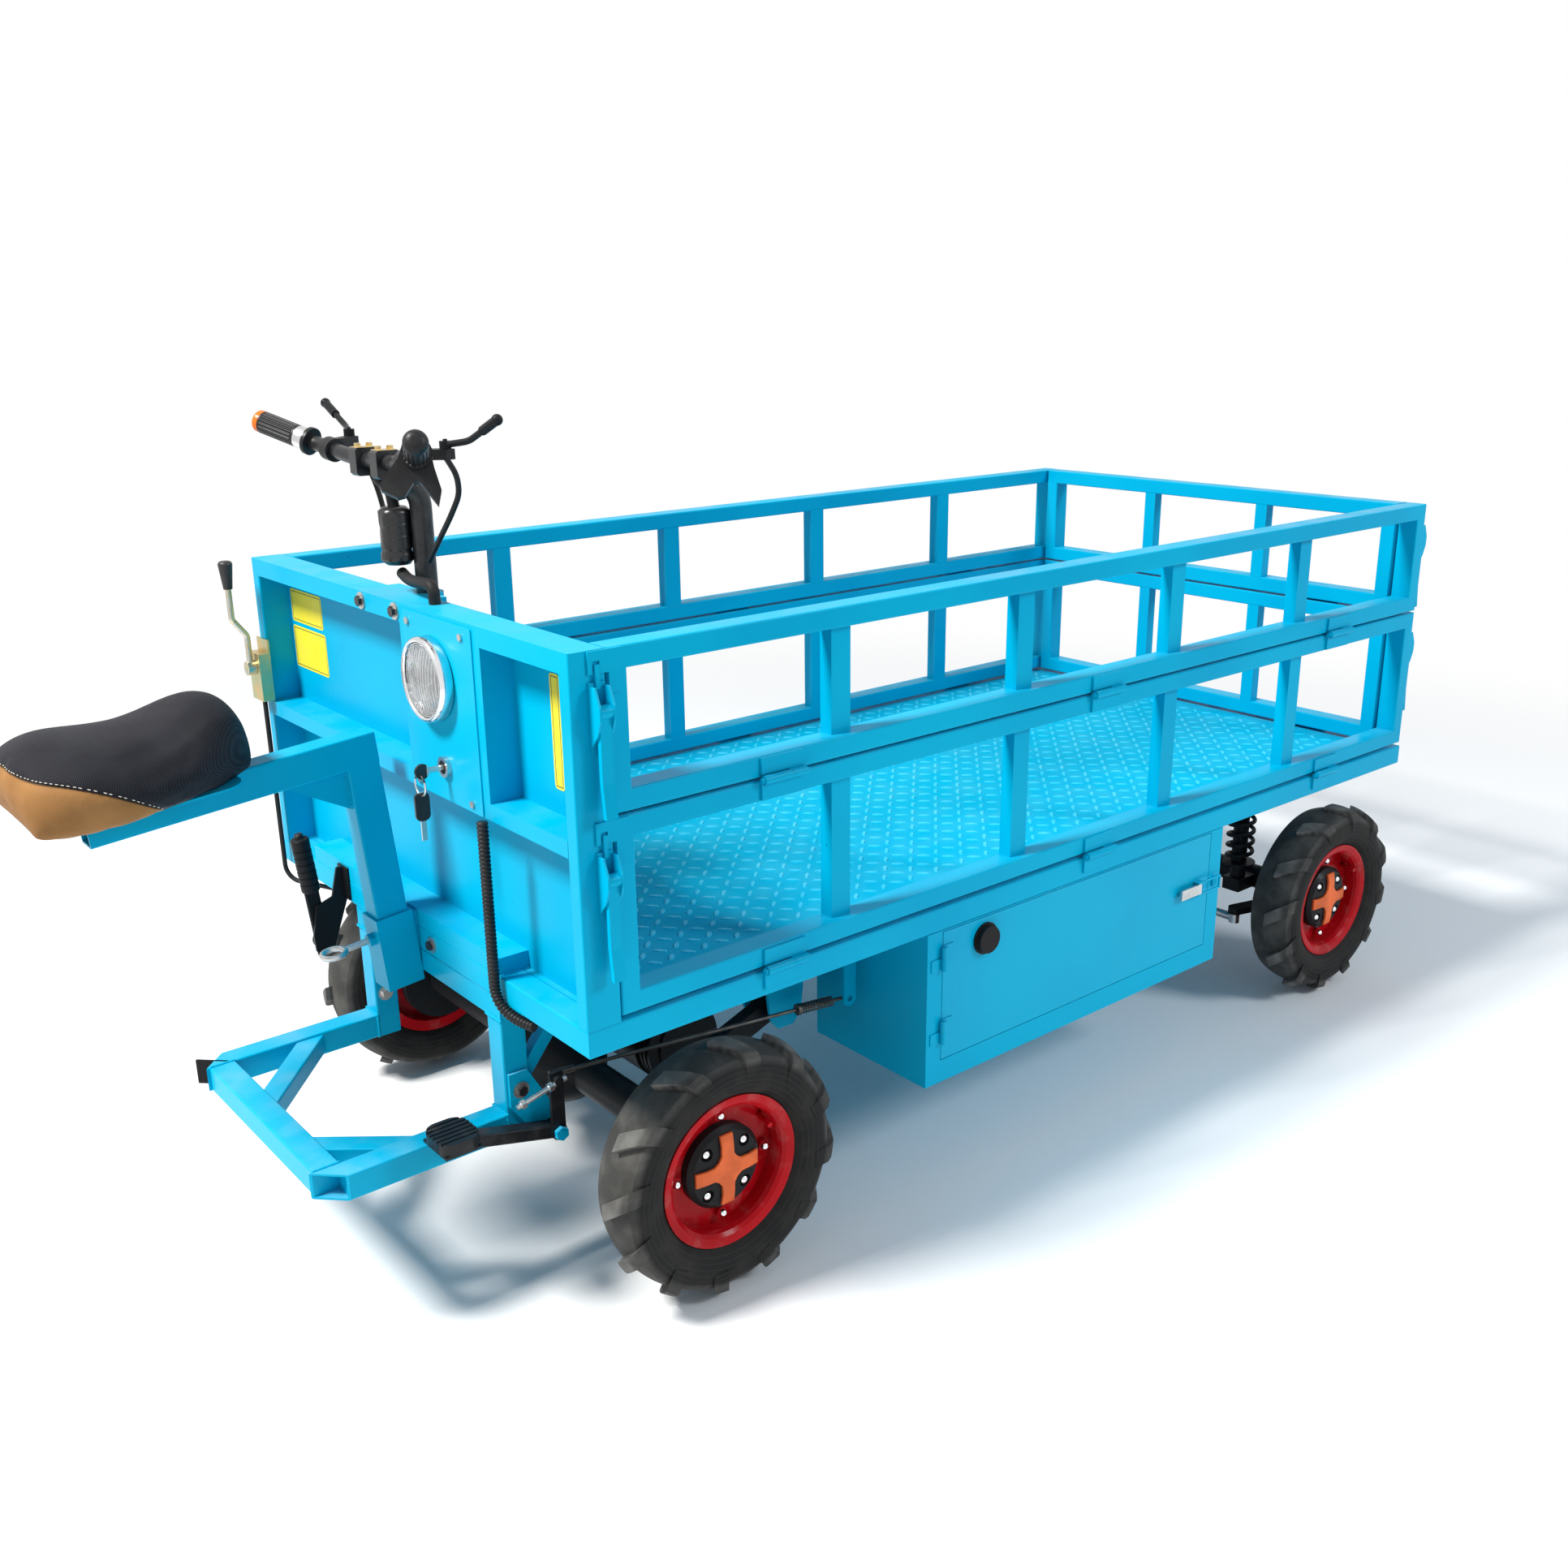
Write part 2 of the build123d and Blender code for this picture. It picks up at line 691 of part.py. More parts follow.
def deck_frame():
    """Tube frame under the deck with the brackets and hinge leaves welded to it."""
    inner = HALF_WIDTH - RAIL_WIDTH
    body = block(0, DECK_LENGTH, -HALF_WIDTH, HALF_WIDTH, RAIL_BOTTOM, RAIL_TOP)
    body -= block(RAIL_WIDTH, DECK_LENGTH - RAIL_WIDTH, -inner, inner, RAIL_BOTTOM, RAIL_TOP)
    body = fillet(body.faces().filter_by(Axis.Z).edges(), TUBE_ROUND)
    sheet_bottom = RAIL_TOP - DECK_SHEET
    for x in cross_members():
        body += block(x, x + CROSS_WIDTH, -inner - 1, inner + 1, RAIL_BOTTOM, sheet_bottom)
    for side in (-1, 1):
        y0 = side * SILL_Y - SILL_WIDTH / 2
        y1 = side * SILL_Y + SILL_WIDTH / 2
        low = RAIL_BOTTOM - SILL_HEIGHT
        body += block(RAIL_WIDTH, DECK_LENGTH - 1, y0, y1, low, RAIL_BOTTOM)
    body += column_foot_plate()
    body += trailing_hangers()
    body += shock_mounts()
    for x in side_hinges():
        leaf = Pos(SIDE_GATE_X, HALF_WIDTH, 0) * hinge_below(x, LOWER_PIN_Z)
        body += leaf
        body += left_of(leaf)
    for x in end_hinges():
        body += end_gate_at(0) * hinge_below(x, LOWER_PIN_Z)
    return body


def column_foot_plate():
    """Lower bearing of the steering column, between the front rail and the first cross tube."""
    half = COLUMN_BUSH_R + 12
    body = block(RAIL_WIDTH - 2, RAIL_WIDTH + 62, -half, half, RAIL_BOTTOM, RAIL_BOTTOM + 10)
    top = RAIL_TOP - DECK_SHEET
    body += rod((COLUMN_X, 0, RAIL_BOTTOM), (COLUMN_X, 0, top), COLUMN_BUSH_R)
    bore = rod((COLUMN_X, 0, RAIL_BOTTOM - 1), (COLUMN_X, 0, top + 1), COLUMN_R + RUN)
    return body - bore


def trailing_hangers():
    """Pairs of plates with the pins that the trailing arms swing on."""
    out = BUSH_LENGTH / 2 + NEAR
    plates = None
    profile = Polygon(
        (-HANGER_WIDTH / 2 - 20, RAIL_BOTTOM + 2), (-HANGER_WIDTH / 2, PIVOT_Z - 10), (-16, PIVOT_Z - 28),
        (16, PIVOT_Z - 28), (HANGER_WIDTH / 2, PIVOT_Z - 10), (HANGER_WIDTH / 2 + 20, RAIL_BOTTOM + 2),
        align=None,
    )
    for side in (-1, 1):
        y = side * PIVOT_Y
        for face in (y - out - HANGER_SHEET, y + out):
            place = Plane(origin=(PIVOT_X, face, 0), x_dir=(1, 0, 0), z_dir=(0, -1, 0))
            one = plate(place, profile, HANGER_SHEET, (0, 1, 0))
            plates = one if plates is None else plates + one
        ends = (PIVOT_X, y - out - HANGER_SHEET, PIVOT_Z), (PIVOT_X, y + out + HANGER_SHEET, PIVOT_Z)
        plates += rod(*ends, PIVOT_PIN_R)
    top = RAIL_BOTTOM + 20
    half = HANGER_WIDTH / 2 + 20
    far = PIVOT_Y + out + HANGER_SHEET
    return plates + block(PIVOT_X - half, PIVOT_X + half, -far, far, RAIL_BOTTOM, top)


def shock_mounts():
    """Upper spring seats and rods of the two shocks, hung from a cross tube."""
    inner = HALF_WIDTH - RAIL_WIDTH
    half = CROSS_WIDTH / 2
    body = block(SHOCK_X - half, SHOCK_X + half, -inner - 1, inner + 1, RAIL_BOTTOM, RAIL_TOP - DECK_SHEET)
    for y in (-SHOCK_Y, SHOCK_Y):
        body += rod((SHOCK_X, y, SHOCK_TOP_Z), (SHOCK_X, y, RAIL_BOTTOM), SHOCK_BODY_R)
        body += rod((SHOCK_X, y, SHOCK_TOP_Z), (SHOCK_X, y, SHOCK_TOP_Z + SHOCK_CUP), SHOCK_CUP_R)
        low = SHOCK_TOP_Z - SHOCK_TRAVEL - 60
        body += rod((SHOCK_X, y, low), (SHOCK_X, y, SHOCK_TOP_Z), SHOCK_ROD_R)
    return body


def deck_plate():
    """Chequer plate laid flush between the rails, slotted round the column."""
    inner = HALF_WIDTH - RAIL_WIDTH - NEAR
    low = RAIL_TOP - DECK_SHEET
    x0 = SHEET_X + SHEET + NEAR
    x1 = DECK_LENGTH - RAIL_WIDTH - NEAR
    body = block(x0, x1, -inner, inner, low, RAIL_TOP)
    hole = COLUMN_R + 4
    body -= rod((COLUMN_X, 0, low - 1), (COLUMN_X, 0, RAIL_TOP + 1), hole)
    return body - block(x0 - 1, COLUMN_X, -hole, hole, low - 1, RAIL_TOP + 1)


def headboard_frame():
    """Welded headboard: posts, rails, sheet, beam, console, column bearing, seat socket."""
    inner = HALF_WIDTH - POST_WIDTH
    body = block(0, POST_DEPTH, -HALF_WIDTH, HALF_WIDTH, RAIL_TOP, TOP)
    body -= block(0, POST_DEPTH, -inner, inner, RAIL_TOP, TOP - TOP_RAIL)
    body = fillet(body.faces().filter_by(Axis.X).edges().filter_by(Axis.Z), TUBE_ROUND)
    body += block(SHEET_X, SHEET_X + SHEET, -inner - 1, inner + 1, RAIL_TOP, TOP - TOP_RAIL + 1)
    body += block(0, SHEET_X + 1, -inner - 1, inner + 1, MID_RAIL_BOTTOM, MID_RAIL_BOTTOM + MID_RAIL)
    body += block(0, SHEET_X + 1, BEAM_RIGHT, BEAM_LEFT, RAIL_TOP, RAIL_TOP + BEAM_HEIGHT)
    body += block(0, SHEET_X + 1, CONSOLE_RIGHT, CONSOLE_LEFT, MID_RAIL_BOTTOM + 1, TOP)
    body += block(SHEET_X + SHEET, COLUMN_X, -58, 92, TOP - TOP_RAIL, TOP)
    low = TOP - COLUMN_BUSH
    body += rod((COLUMN_X, 0, low), (COLUMN_X, 0, TOP), COLUMN_BUSH_R)
    body -= rod((COLUMN_X, 0, low - 1), (COLUMN_X, 0, TOP + 1), COLUMN_R + RUN)
    for top in (LOWER_TOP, TOP):
        base = near_latch(top) * latch_base()
        body += base
        body += left_of(base)
    return body + seat_socket()


# Seat

def leaned(shape):
    """Move a piece from the seat's upright frame to its place."""
    return Pos(SOCKET_X, 0, SOCKET_TOP) * Rot(0, -LEAN, 0) * shape


def seat_socket():
    """Square socket on the beam, with the nut for the eye bolt."""
    wall = SOCKET_WALL + SLIDE
    half_x = POST_X / 2
    half_y = POST_Y / 2
    body = block(-half_x - wall, half_x + wall, -half_y - wall, half_y + wall, -SOCKET_DEPTH - SOCKET_WALL, 0)
    body += hexagon((-half_x - wall + 1, 0, -EYE_DROP), (-1, 0, 0), NUT_R, NUT_TALL + 1)
    inside = block(-half_x - SLIDE, half_x + SLIDE, -half_y - SLIDE, half_y + SLIDE, -SOCKET_DEPTH, 1)
    inside += rod((-half_x, 0, -EYE_DROP), (-half_x - wall - NUT_TALL - 1, 0, -EYE_DROP), EYE_R + RUN)
    foot = block(SOCKET_X + half_x - 4, 0, -half_y, half_y, RAIL_TOP - 70, SOCKET_TOP - 4)
    foot += block(-1, 6, -half_y, half_y, RAIL_TOP, SOCKET_TOP - 4)
    return leaned(body) + foot - leaned(inside)


def seat_post():
    """Post and arm of rectangular tube with a gusset and the seat's pan."""
    half_x = POST_X / 2
    half_y = POST_Y / 2
    body = bar((0, 0, -SOCKET_DEPTH), (0, 0, ARM_TOP - 2), POST_Y, POST_X)
    middle = ARM_TOP - ARM_HEIGHT / 2
    body += bar((half_x, 0, middle), (-ARM_REAR, 0, middle), POST_Y, ARM_HEIGHT)
    low = middle - ARM_HEIGHT / 2
    profile = Polygon(
        (-half_x + 1, low + 1), (-half_x - GUSSET_OUT, low + 1), (-half_x + 1, low - GUSSET_DOWN), align=None
    )
    place = Plane(origin=(0, -GUSSET_SHEET / 2, 0), x_dir=(1, 0, 0), z_dir=(0, -1, 0))
    body += plate(place, profile, GUSSET_SHEET, (0, 1, 0))
    hole = ARM_HEIGHT / 2 - ARM_WALL
    side = half_y - ARM_WALL
    body -= block(-ARM_REAR - 1, -ARM_REAR + 60, -side, side, middle - hole, middle + hole)
    pan = block(-PAN_FROM, -PAN_TO, -PAN_WIDTH / 2, PAN_WIDTH / 2, ARM_TOP, ARM_TOP + PAN_SHEET)
    pan = fillet(pan.edges().filter_by(Axis.Z), 30)
    return leaned(body + pan)


def seat_section(x, half, height):
    """Cross-section of the cushion: flat base, swollen sides, crowned top."""
    base = ARM_TOP + PAN_SHEET + NEAR
    foot = half * 0.88
    brow = half * 0.84
    shoulder = base + height * 0.80
    edges = [
        Line((foot, base), (-foot, base)),
        ThreePointArc((-foot, base), (-half, base + height * 0.42), (-brow, shoulder)),
        ThreePointArc((-brow, shoulder), (0, base + height), (brow, shoulder)),
        ThreePointArc((brow, shoulder), (half, base + height * 0.42), (foot, base)),
    ]
    face = make_face(edges)
    return Plane(origin=(x, 0, 0), x_dir=(0, 1, 0), z_dir=(1, 0, 0)) * face


def seat_cushion():
    """Saddle-shaped cushion: raised behind and at the nose, with a dip between."""
    length = SEAT_REAR - SEAT_FRONT
    shape = (
        (0.00, 88, 58), (0.06, 122, 94), (0.20, 140, 102), (0.42, 141, 93),
        (0.64, 122, 97), (0.83, 96, 111), (0.95, 66, 98), (1.00, 46, 70),
    )
    sections = [seat_section(-SEAT_REAR + share * length, half, tall) for share, half, tall in shape]
    return leaned(loft(sections))


def eye_bolt():
    """Clamping screw with a ring to turn it by."""
    wall = SOCKET_WALL + SLIDE
    tip = -POST_X / 2 - NEAR
    end = -POST_X / 2 - wall - NUT_TALL - EYE_SHANK
    body = rod((tip, 0, -EYE_DROP), (end, 0, -EYE_DROP), EYE_R)
    body += Pos(end - EYE_RING_R + 2, 0, -EYE_DROP) * Torus(EYE_RING_R, EYE_R - 0.6)
    return leaned(body)


# Console

def console_cover():
    """Screwed cover plate with the key switch."""
    body = block(-COVER_SHEET, 0, COVER_RIGHT, COVER_LEFT, MID_RAIL_BOTTOM + 1, TOP - COVER_DROP)
    body = fillet(body.edges().filter_by(Axis.X), 4)
    face = -COVER_SHEET
    switch = rod((face, KEY_Y, KEY_Z), (face - SWITCH_DEPTH, KEY_Y, KEY_Z), SWITCH_R)
    switch -= rod((face - 1, KEY_Y, KEY_Z), (face - SWITCH_DEPTH - 1, KEY_Y, KEY_Z), KEY_R + RUN)
    return Compound(children=[body, switch])


def headlight():
    """Bezel ring and domed lens."""
    face = -COVER_SHEET
    front = face - LIGHT_DEPTH
    place = Plane(origin=(face, LIGHT_Y, LIGHT_Z), x_dir=(0, 1, 0), z_dir=(-1, 0, 0))
    inner = LIGHT_R - BEZEL_WIDTH
    shell = make_face(Polyline(
        (inner, 0), (LIGHT_R - 3, 0), (LIGHT_R, 4), (LIGHT_R, LIGHT_DEPTH - 6), (LIGHT_R - 3, LIGHT_DEPTH),
        (inner + 2, LIGHT_DEPTH), (inner, LIGHT_DEPTH - 3), close=True,
    ))
    bezel = place * revolve(Plane.XZ * shell, Axis.Z)
    edge = inner - NEAR
    rise = LIGHT_DEPTH - 5
    glass = make_face([
        Line((0, 0), (edge, 0)), Line((edge, 0), (edge, rise)),
        dome(edge, rise, LENS_CROWN),
        Line((0, rise + LENS_CROWN), (0, 0)),
    ])
    lens = place * revolve(Plane.XZ * glass, Axis.Z)
    return Compound(children=[bezel, lens])


def ignition_key():
    """Key with a round head, and a spare key on a split ring."""
    face = -COVER_SHEET
    tip = face - 1 - NEAR
    back = tip - KEY_LENGTH
    body = rod((tip, KEY_Y, KEY_Z), (back, KEY_Y, KEY_Z), KEY_R)
    head_x = back - KEY_HEAD / 2 + 4
    half = KEY_SHEET / 2
    body += rod((head_x, KEY_Y - half, KEY_Z), (head_x, KEY_Y + half, KEY_Z), KEY_HEAD / 2)
    hole_x = head_x - 4
    body -= rod(
        (hole_x, KEY_Y - half - 1, KEY_Z - 4),
        (hole_x, KEY_Y + half + 1, KEY_Z - 4),
        KEY_WIRE_R + NEAR,
    )
    ring_z = KEY_Z - 4 - KEY_RING_R
    loop = Pos(hole_x, KEY_Y, ring_z) * Rot(0, 90, 0) * Torus(KEY_RING_R, KEY_WIRE_R)
    eye_z = ring_z - KEY_RING_R
    top = eye_z + 5
    wide = FOB_WIDTH / 2
    fob = block(hole_x - wide, hole_x + wide, KEY_Y - half, KEY_Y + half, top - FOB_LENGTH, top)
    fob = fillet(fob.edges().filter_by(Axis.Y), 9)
    tip_z = top - FOB_LENGTH - FOB_BLADE
    wide = FOB_BLADE_WIDTH / 2
    fob += block(hole_x - wide, hole_x + wide, KEY_Y - 1.2, KEY_Y + 1.2, tip_z, top - FOB_LENGTH + 2)
    fob -= rod((hole_x, KEY_Y - half - 1, eye_z), (hole_x, KEY_Y + half + 1, eye_z), KEY_WIRE_R + NEAR)
    return Compound(children=[body, loop, fob])


# Gear lever and parking brake

def shift_box():
    """Folded box on the left post, open below, with the lever's pin."""
    y0 = BOX_Y - BOX_WIDTH / 2
    y1 = BOX_Y + BOX_WIDTH / 2
    top = BOX_BOTTOM + BOX_HEIGHT
    body = block(-BOX_DEPTH, 0, y0, y1, BOX_BOTTOM, top)
    t = BOX_SHEET
    body -= block(-BOX_DEPTH + t, 0, y0 + t, y1 - t, BOX_BOTTOM - 1, top - t)
    body += block(-t, 0, y0, y1, top - t, top + BOX_FLANGE)
    end = -BOX_DEPTH - NEAR - SHIFT_HUB
    return body + rod((-BOX_DEPTH + 1, BOX_Y, SHIFT_Z), (end, BOX_Y, SHIFT_Z), SHIFT_PIN_R)


def gear_lever():
    """Hub, cranked rod and knob."""
    x0 = -BOX_DEPTH - NEAR
    x1 = x0 - SHIFT_HUB
    middle = (x0 + x1) / 2
    hub = rod((x0, BOX_Y, SHIFT_Z), (x1, BOX_Y, SHIFT_Z), SHIFT_HUB_R)
    hub -= rod((x0 + 1, BOX_Y, SHIFT_Z), (x1 - 1, BOX_Y, SHIFT_Z), SHIFT_PIN_R + RUN)
    crank = middle - SHIFT_CRANK
    low = SHIFT_Z + SHIFT_HUB_R - 2
    points = (
        (middle, BOX_Y, low), (middle, BOX_Y, SHIFT_Z + 56),
        (crank, BOX_Y, SHIFT_Z + 86), (crank, BOX_Y, SHIFT_ROD_TOP),
    )
    body = hub + pipe(points, SHIFT_ROD_R, 14)
    z0 = SHIFT_ROD_TOP - 6
    outline = make_face([
        Line((0, 0), (KNOB_FOOT_R, 0)),
        Line((KNOB_FOOT_R, 0), (KNOB_R, KNOB_LENGTH - KNOB_ROUND)),
        RadiusArc((KNOB_R, KNOB_LENGTH - KNOB_ROUND), (KNOB_R - KNOB_ROUND, KNOB_LENGTH), -KNOB_ROUND),
        Line((KNOB_R - KNOB_ROUND, KNOB_LENGTH), (0, KNOB_LENGTH)),
        Line((0, KNOB_LENGTH), (0, 0)),
    ])
    knob = Pos(crank, BOX_Y, z0) * revolve(Plane.XZ * outline, Axis.Z)
    return Compound(children=[body - knob, knob])


def parking_bracket():
    """Plate with a toothed quadrant on the front beam, and the lever's pin."""
    y0 = PARK_Y - PARK_SHEET
    px = PARK_PIVOT_X
    pz = PARK_PIVOT_Z
    profile = Polygon(
        (0, RAIL_TOP + 22), (0, RAIL_TOP - 33), (px + 16, pz - 20), (px - 14, pz - 16),
        (px - 16, pz + 12), (px - 6, pz + 62), (px + 22, pz + 72), (-14, RAIL_TOP + 22),
        align=None,
    )
    place = Plane(origin=(0, y0, 0), x_dir=(1, 0, 0), z_dir=(0, -1, 0))
    body = plate(place, profile, PARK_SHEET, (0, 1, 0))
    for i in range(6):
        angle = math.radians(95 + 6 * i)
        x = px + 64 * math.cos(angle)
        z = pz + 64 * math.sin(angle)
        body -= rod((x, y0 - 1, z), (x, PARK_Y + 1, z), 2.0)
    body += block(-4, 0, y0 - 16, PARK_Y + 16, RAIL_TOP - 33, RAIL_TOP + 22)
    end = PARK_Y + NEAR + PARK_LEVER_SHEET + 4
    return body + rod((px, y0, pz), (px, end, pz), PARK_PIN_R)


def park_place(height):
    """Point on the parking lever's centre line, a distance from its pivot."""
    lean = math.radians(PARK_LEAN)
    y = PARK_Y + NEAR + PARK_LEVER_SHEET / 2
    return (PARK_PIVOT_X - height * math.sin(lean), y, PARK_PIVOT_Z + height * math.cos(lean))


def parking_lever():
    """Flat lever with a moulded grip, hollow at the top for the button."""
    y0 = PARK_Y + NEAR
    y1 = y0 + PARK_LEVER_SHEET
    body = bar(park_place(-26), park_place(PARK_GRIP_FROM + 12), PARK_LEVER_SHEET, 24)
    body += rod((PARK_PIVOT_X, y0, PARK_PIVOT_Z), (PARK_PIVOT_X, y1, PARK_PIVOT_Z), PARK_BOSS_R)
    body -= rod((PARK_PIVOT_X, y0 - 1, PARK_PIVOT_Z), (PARK_PIVOT_X, y1 + 1, PARK_PIVOT_Z), PARK_PIN_R + RUN)
    top = PARK_GRIP_FROM + PARK_GRIP_LENGTH
    grip = rod(park_place(PARK_GRIP_FROM), park_place(top), PARK_GRIP_R)
    grip = fillet(grip.edges().filter_by(GeomType.CIRCLE), 4)
    for i in range(PARK_GROOVES):
        low = PARK_GRIP_FROM + 14 + 12 * i
        groove = rod(park_place(low), park_place(low + PARK_GROOVE), PARK_GRIP_R + 1)
        grip -= groove - rod(park_place(low - 1), park_place(low + PARK_GROOVE + 1), PARK_GRIP_R - PARK_GROOVE_DEEP)
    grip -= body
    seat = top - PARK_BUTTON_TRAVEL - PARK_BUTTON
    grip -= rod(park_place(seat), park_place(top + 1), PARK_BUTTON_R + RUN)
    return Compound(children=[body, grip])


def parking_button():
    top = PARK_GRIP_FROM + PARK_GRIP_LENGTH
    body = rod(park_place(top - PARK_BUTTON), park_place(top + PARK_BUTTON_TRAVEL + 2), PARK_BUTTON_R)
    return chamfer(body.edges().filter_by(GeomType.CIRCLE).sort_by(Axis.Z)[-1], 1.5)


# Steering

def handlebar():
    """Column with its bent stem, lower steering arm, clamp and cranked bar."""
    column = pipe(
        ((COLUMN_X, 0, COLUMN_FOOT), (COLUMN_X, 0, COLUMN_BEND), (STEM_X, 0, STEM_Z)), COLUMN_R, 40
    )
    low = COLUMN_FOOT
    arm = extrude(
        Pos(COLUMN_X, -PITMAN / 2, low) * Rot(0, 0, 90) * SlotCenterToCenter(PITMAN, PITMAN_WIDTH),
        amount=PITMAN_SHEET,
    )
    half = CLAMP_Y + CLAMP_WIDTH / 2
    yoke = block(BAR_X, STEM_X + 12, -half, half, STEM_Z - 12, STEM_Z + 6)
    yoke = fillet(yoke.edges().filter_by(Axis.Y), 5)
    body = column + arm + yoke
    for y in (-CLAMP_Y, CLAMP_Y):
        y0, y1 = y - CLAMP_WIDTH / 2, y + CLAMP_WIDTH / 2
        top = BAR_Z + CLAMP_HALF
        clamp = block(BAR_X - CLAMP_HALF, BAR_X + CLAMP_HALF, y0, y1, BAR_Z - CLAMP_LOW, top)
        body += chamfer(clamp.edges().filter_by(Axis.Y), 4)
        for x in (BAR_X - CLAMP_HALF / 2, BAR_X + CLAMP_HALF / 2):
            body += hexagon((x, y, top - 1), (0, 0, 1), CLAMP_BOLT_R, 6)
    gx, gy, gz = GRIP_FROM
    tx, ty, tz = GRIP_TO
    points = (
        (tx, ty, tz), (gx, gy, gz), (BAR_X, BAR_MID_Y, BAR_Z),
        (BAR_X, -BAR_MID_Y, BAR_Z), (gx, -gy, gz), (tx, -ty, tz),
    )
    return body + pipe(points, BAR_R, 50)


def on_grip(distance, side):
    """Point on a grip's centre line, past the bar's bend."""
    start = Vector(*GRIP_FROM)
    way = (Vector(*GRIP_TO) - start).normalized()
    spot = start + way * distance
    return (spot.X, side * spot.Y, spot.Z)


def on_grip_length():
    return (Vector(*GRIP_TO) - Vector(*GRIP_FROM)).length


def grip(side, start, crown):
    """Rubber sleeve over the bar's end, with a flange and a rounded tip."""
    end = on_grip_length()
    body = rod(on_grip(start, side), on_grip(end + 6, side), GRIP_R)
    body = fillet(body.edges().filter_by(GeomType.CIRCLE).sort_by(Axis.Z)[-1], crown)
    body += rod(on_grip(start, side), on_grip(start + 6, side), GRIP_R + 4)
    return body - rod(on_grip(start - 1, side), on_grip(end + NEAR, side), BAR_R + RUN)


def throttle_grip():
    return grip(-1, GRIP_STEP + CASE_WIDTH + NEAR, 13)


def throttle_case():
    """Case at the grip's root, with two wings that hang below the bar."""
    start = Vector(*on_grip(GRIP_STEP, -1))
    way = Vector(*on_grip(GRIP_STEP + 1, -1)) - start
    across = Vector(0, 0, 1).cross(way)
    outline = Polygon(
        (-16, 18), (16, 18), (21, -18), (28, -47), (23, -67), (12, -51), (1, -35), (-7, -36),
        (-19, -54), (-28, -56), (-48, -45), (-50, -38), (-42, -26), (-23, -3), align=None,
    )
    body = plate(Plane(origin=start, x_dir=across, z_dir=way), outline, CASE_WIDTH, way)
    return body - rod(on_grip(GRIP_STEP - 1, -1), on_grip(GRIP_STEP + CASE_WIDTH + 1, -1), BAR_R + RUN)


def harness_wrap():
    """Taped bundle beside the column, drawn in by a tie, with the harness leaving at its top."""
    out = COLUMN_R + WRAP_R + NEAR
    x = COLUMN_X + WRAP_ASIDE[0] * out
    y = WRAP_ASIDE[1] * out
    outline = make_face(Polyline(
        (0, WRAP_FOOT), (WRAP_R - 5, WRAP_FOOT), (WRAP_R, WRAP_FOOT + 6), (WRAP_R, WRAP_WAIST - 4),
        (WRAP_R - 2, WRAP_WAIST), (WRAP_R, WRAP_WAIST + 4), (WRAP_R, WRAP_TOP - 5),
        (WRAP_R - 6, WRAP_TOP), (0, WRAP_TOP), close=True,
    ))
    body = Pos(x, y, 0) * revolve(Plane.XZ * outline, Axis.Z)
    lead = (x, y, WRAP_TOP - 4), (x, y + 8, WRAP_TOP + 22), (x - 8, y + 30, WRAP_TOP + 40)
    return body + pipe(lead, HARNESS_R, 22)


def bar_point(share, side):
    """Point between the bar's middle bend and the grip's bend."""
    a = Vector(BAR_X, BAR_MID_Y, BAR_Z)
    b = Vector(*GRIP_FROM)
    spot = a + (b - a) * share
    return (spot.X, side * spot.Y, spot.Z)


def perch(side):
    """Clamp on the bar that carries a brake lever on a short pin."""
    share = (PERCH_Y - BAR_MID_Y) / (GRIP_FROM[1] - BAR_MID_Y)
    half = 9 / (GRIP_FROM[1] - BAR_MID_Y)
    body = rod(bar_point(share - half, side), bar_point(share + half, side), BAR_R + 6)
    seat = LEVER_Z - LEVER_BOSS / 2 - NEAR
    place = Plane(origin=(0, 0, seat - 14))
    outline = Polygon(
        (BAR_X - 8, side * (PERCH_Y - 9)), (BAR_X - 8, side * (PERCH_Y + 9)),
        (LEVER_X - 4, side * (LEVER_Y + 9)), (LEVER_X + 10, side * (LEVER_Y + 7)),
        (LEVER_X + 10, side * (LEVER_Y - 9)), align=None,
    )
    body += plate(place, outline, 14, (0, 0, 1))
    y = side * LEVER_Y
    body += rod((LEVER_X, y, seat - 1), (LEVER_X, y, seat + LEVER_BOSS + 3), LEVER_PIN_R)
    return body - rod(bar_point(share - 0.4, side), bar_point(share + 0.36, side), BAR_R + RUN)


def bar_cable(side):
    """Brake cable from a perch down to the column, in the curve that it hangs in."""
    top = LEVER_Z - LEVER_BOSS / 2 - NEAR - 14
    if side < 0:
        route = (
            (46, -142, top), (60, -141, 1186), (66, -133, 1159), (61, -112, 1127),
            (57, -87, 1098), (58, -60, 1074), (63, -34, 1056),
        )
        return cord(route, CABLE_R, "Right bar cable")
    route = (
        (46, 142, top), (60, 139, 1180), (66, 126, 1148), (65, 109, 1118),
        (62, 91, 1088), (63, 66, 1067), (66, 41, 1053),
    )
    return cord(route, CABLE_R, "Left bar cable")


def handlebar_controls():
    """Left grip, throttle case, both perches, their cables and the wrapped harness."""
    solids = [grip(1, GRIP_STEP, 5), throttle_case(), perch(-1), perch(1)]
    solids += [bar_cable(-1), bar_cable(1), harness_wrap()]
    return Compound(children=solids)


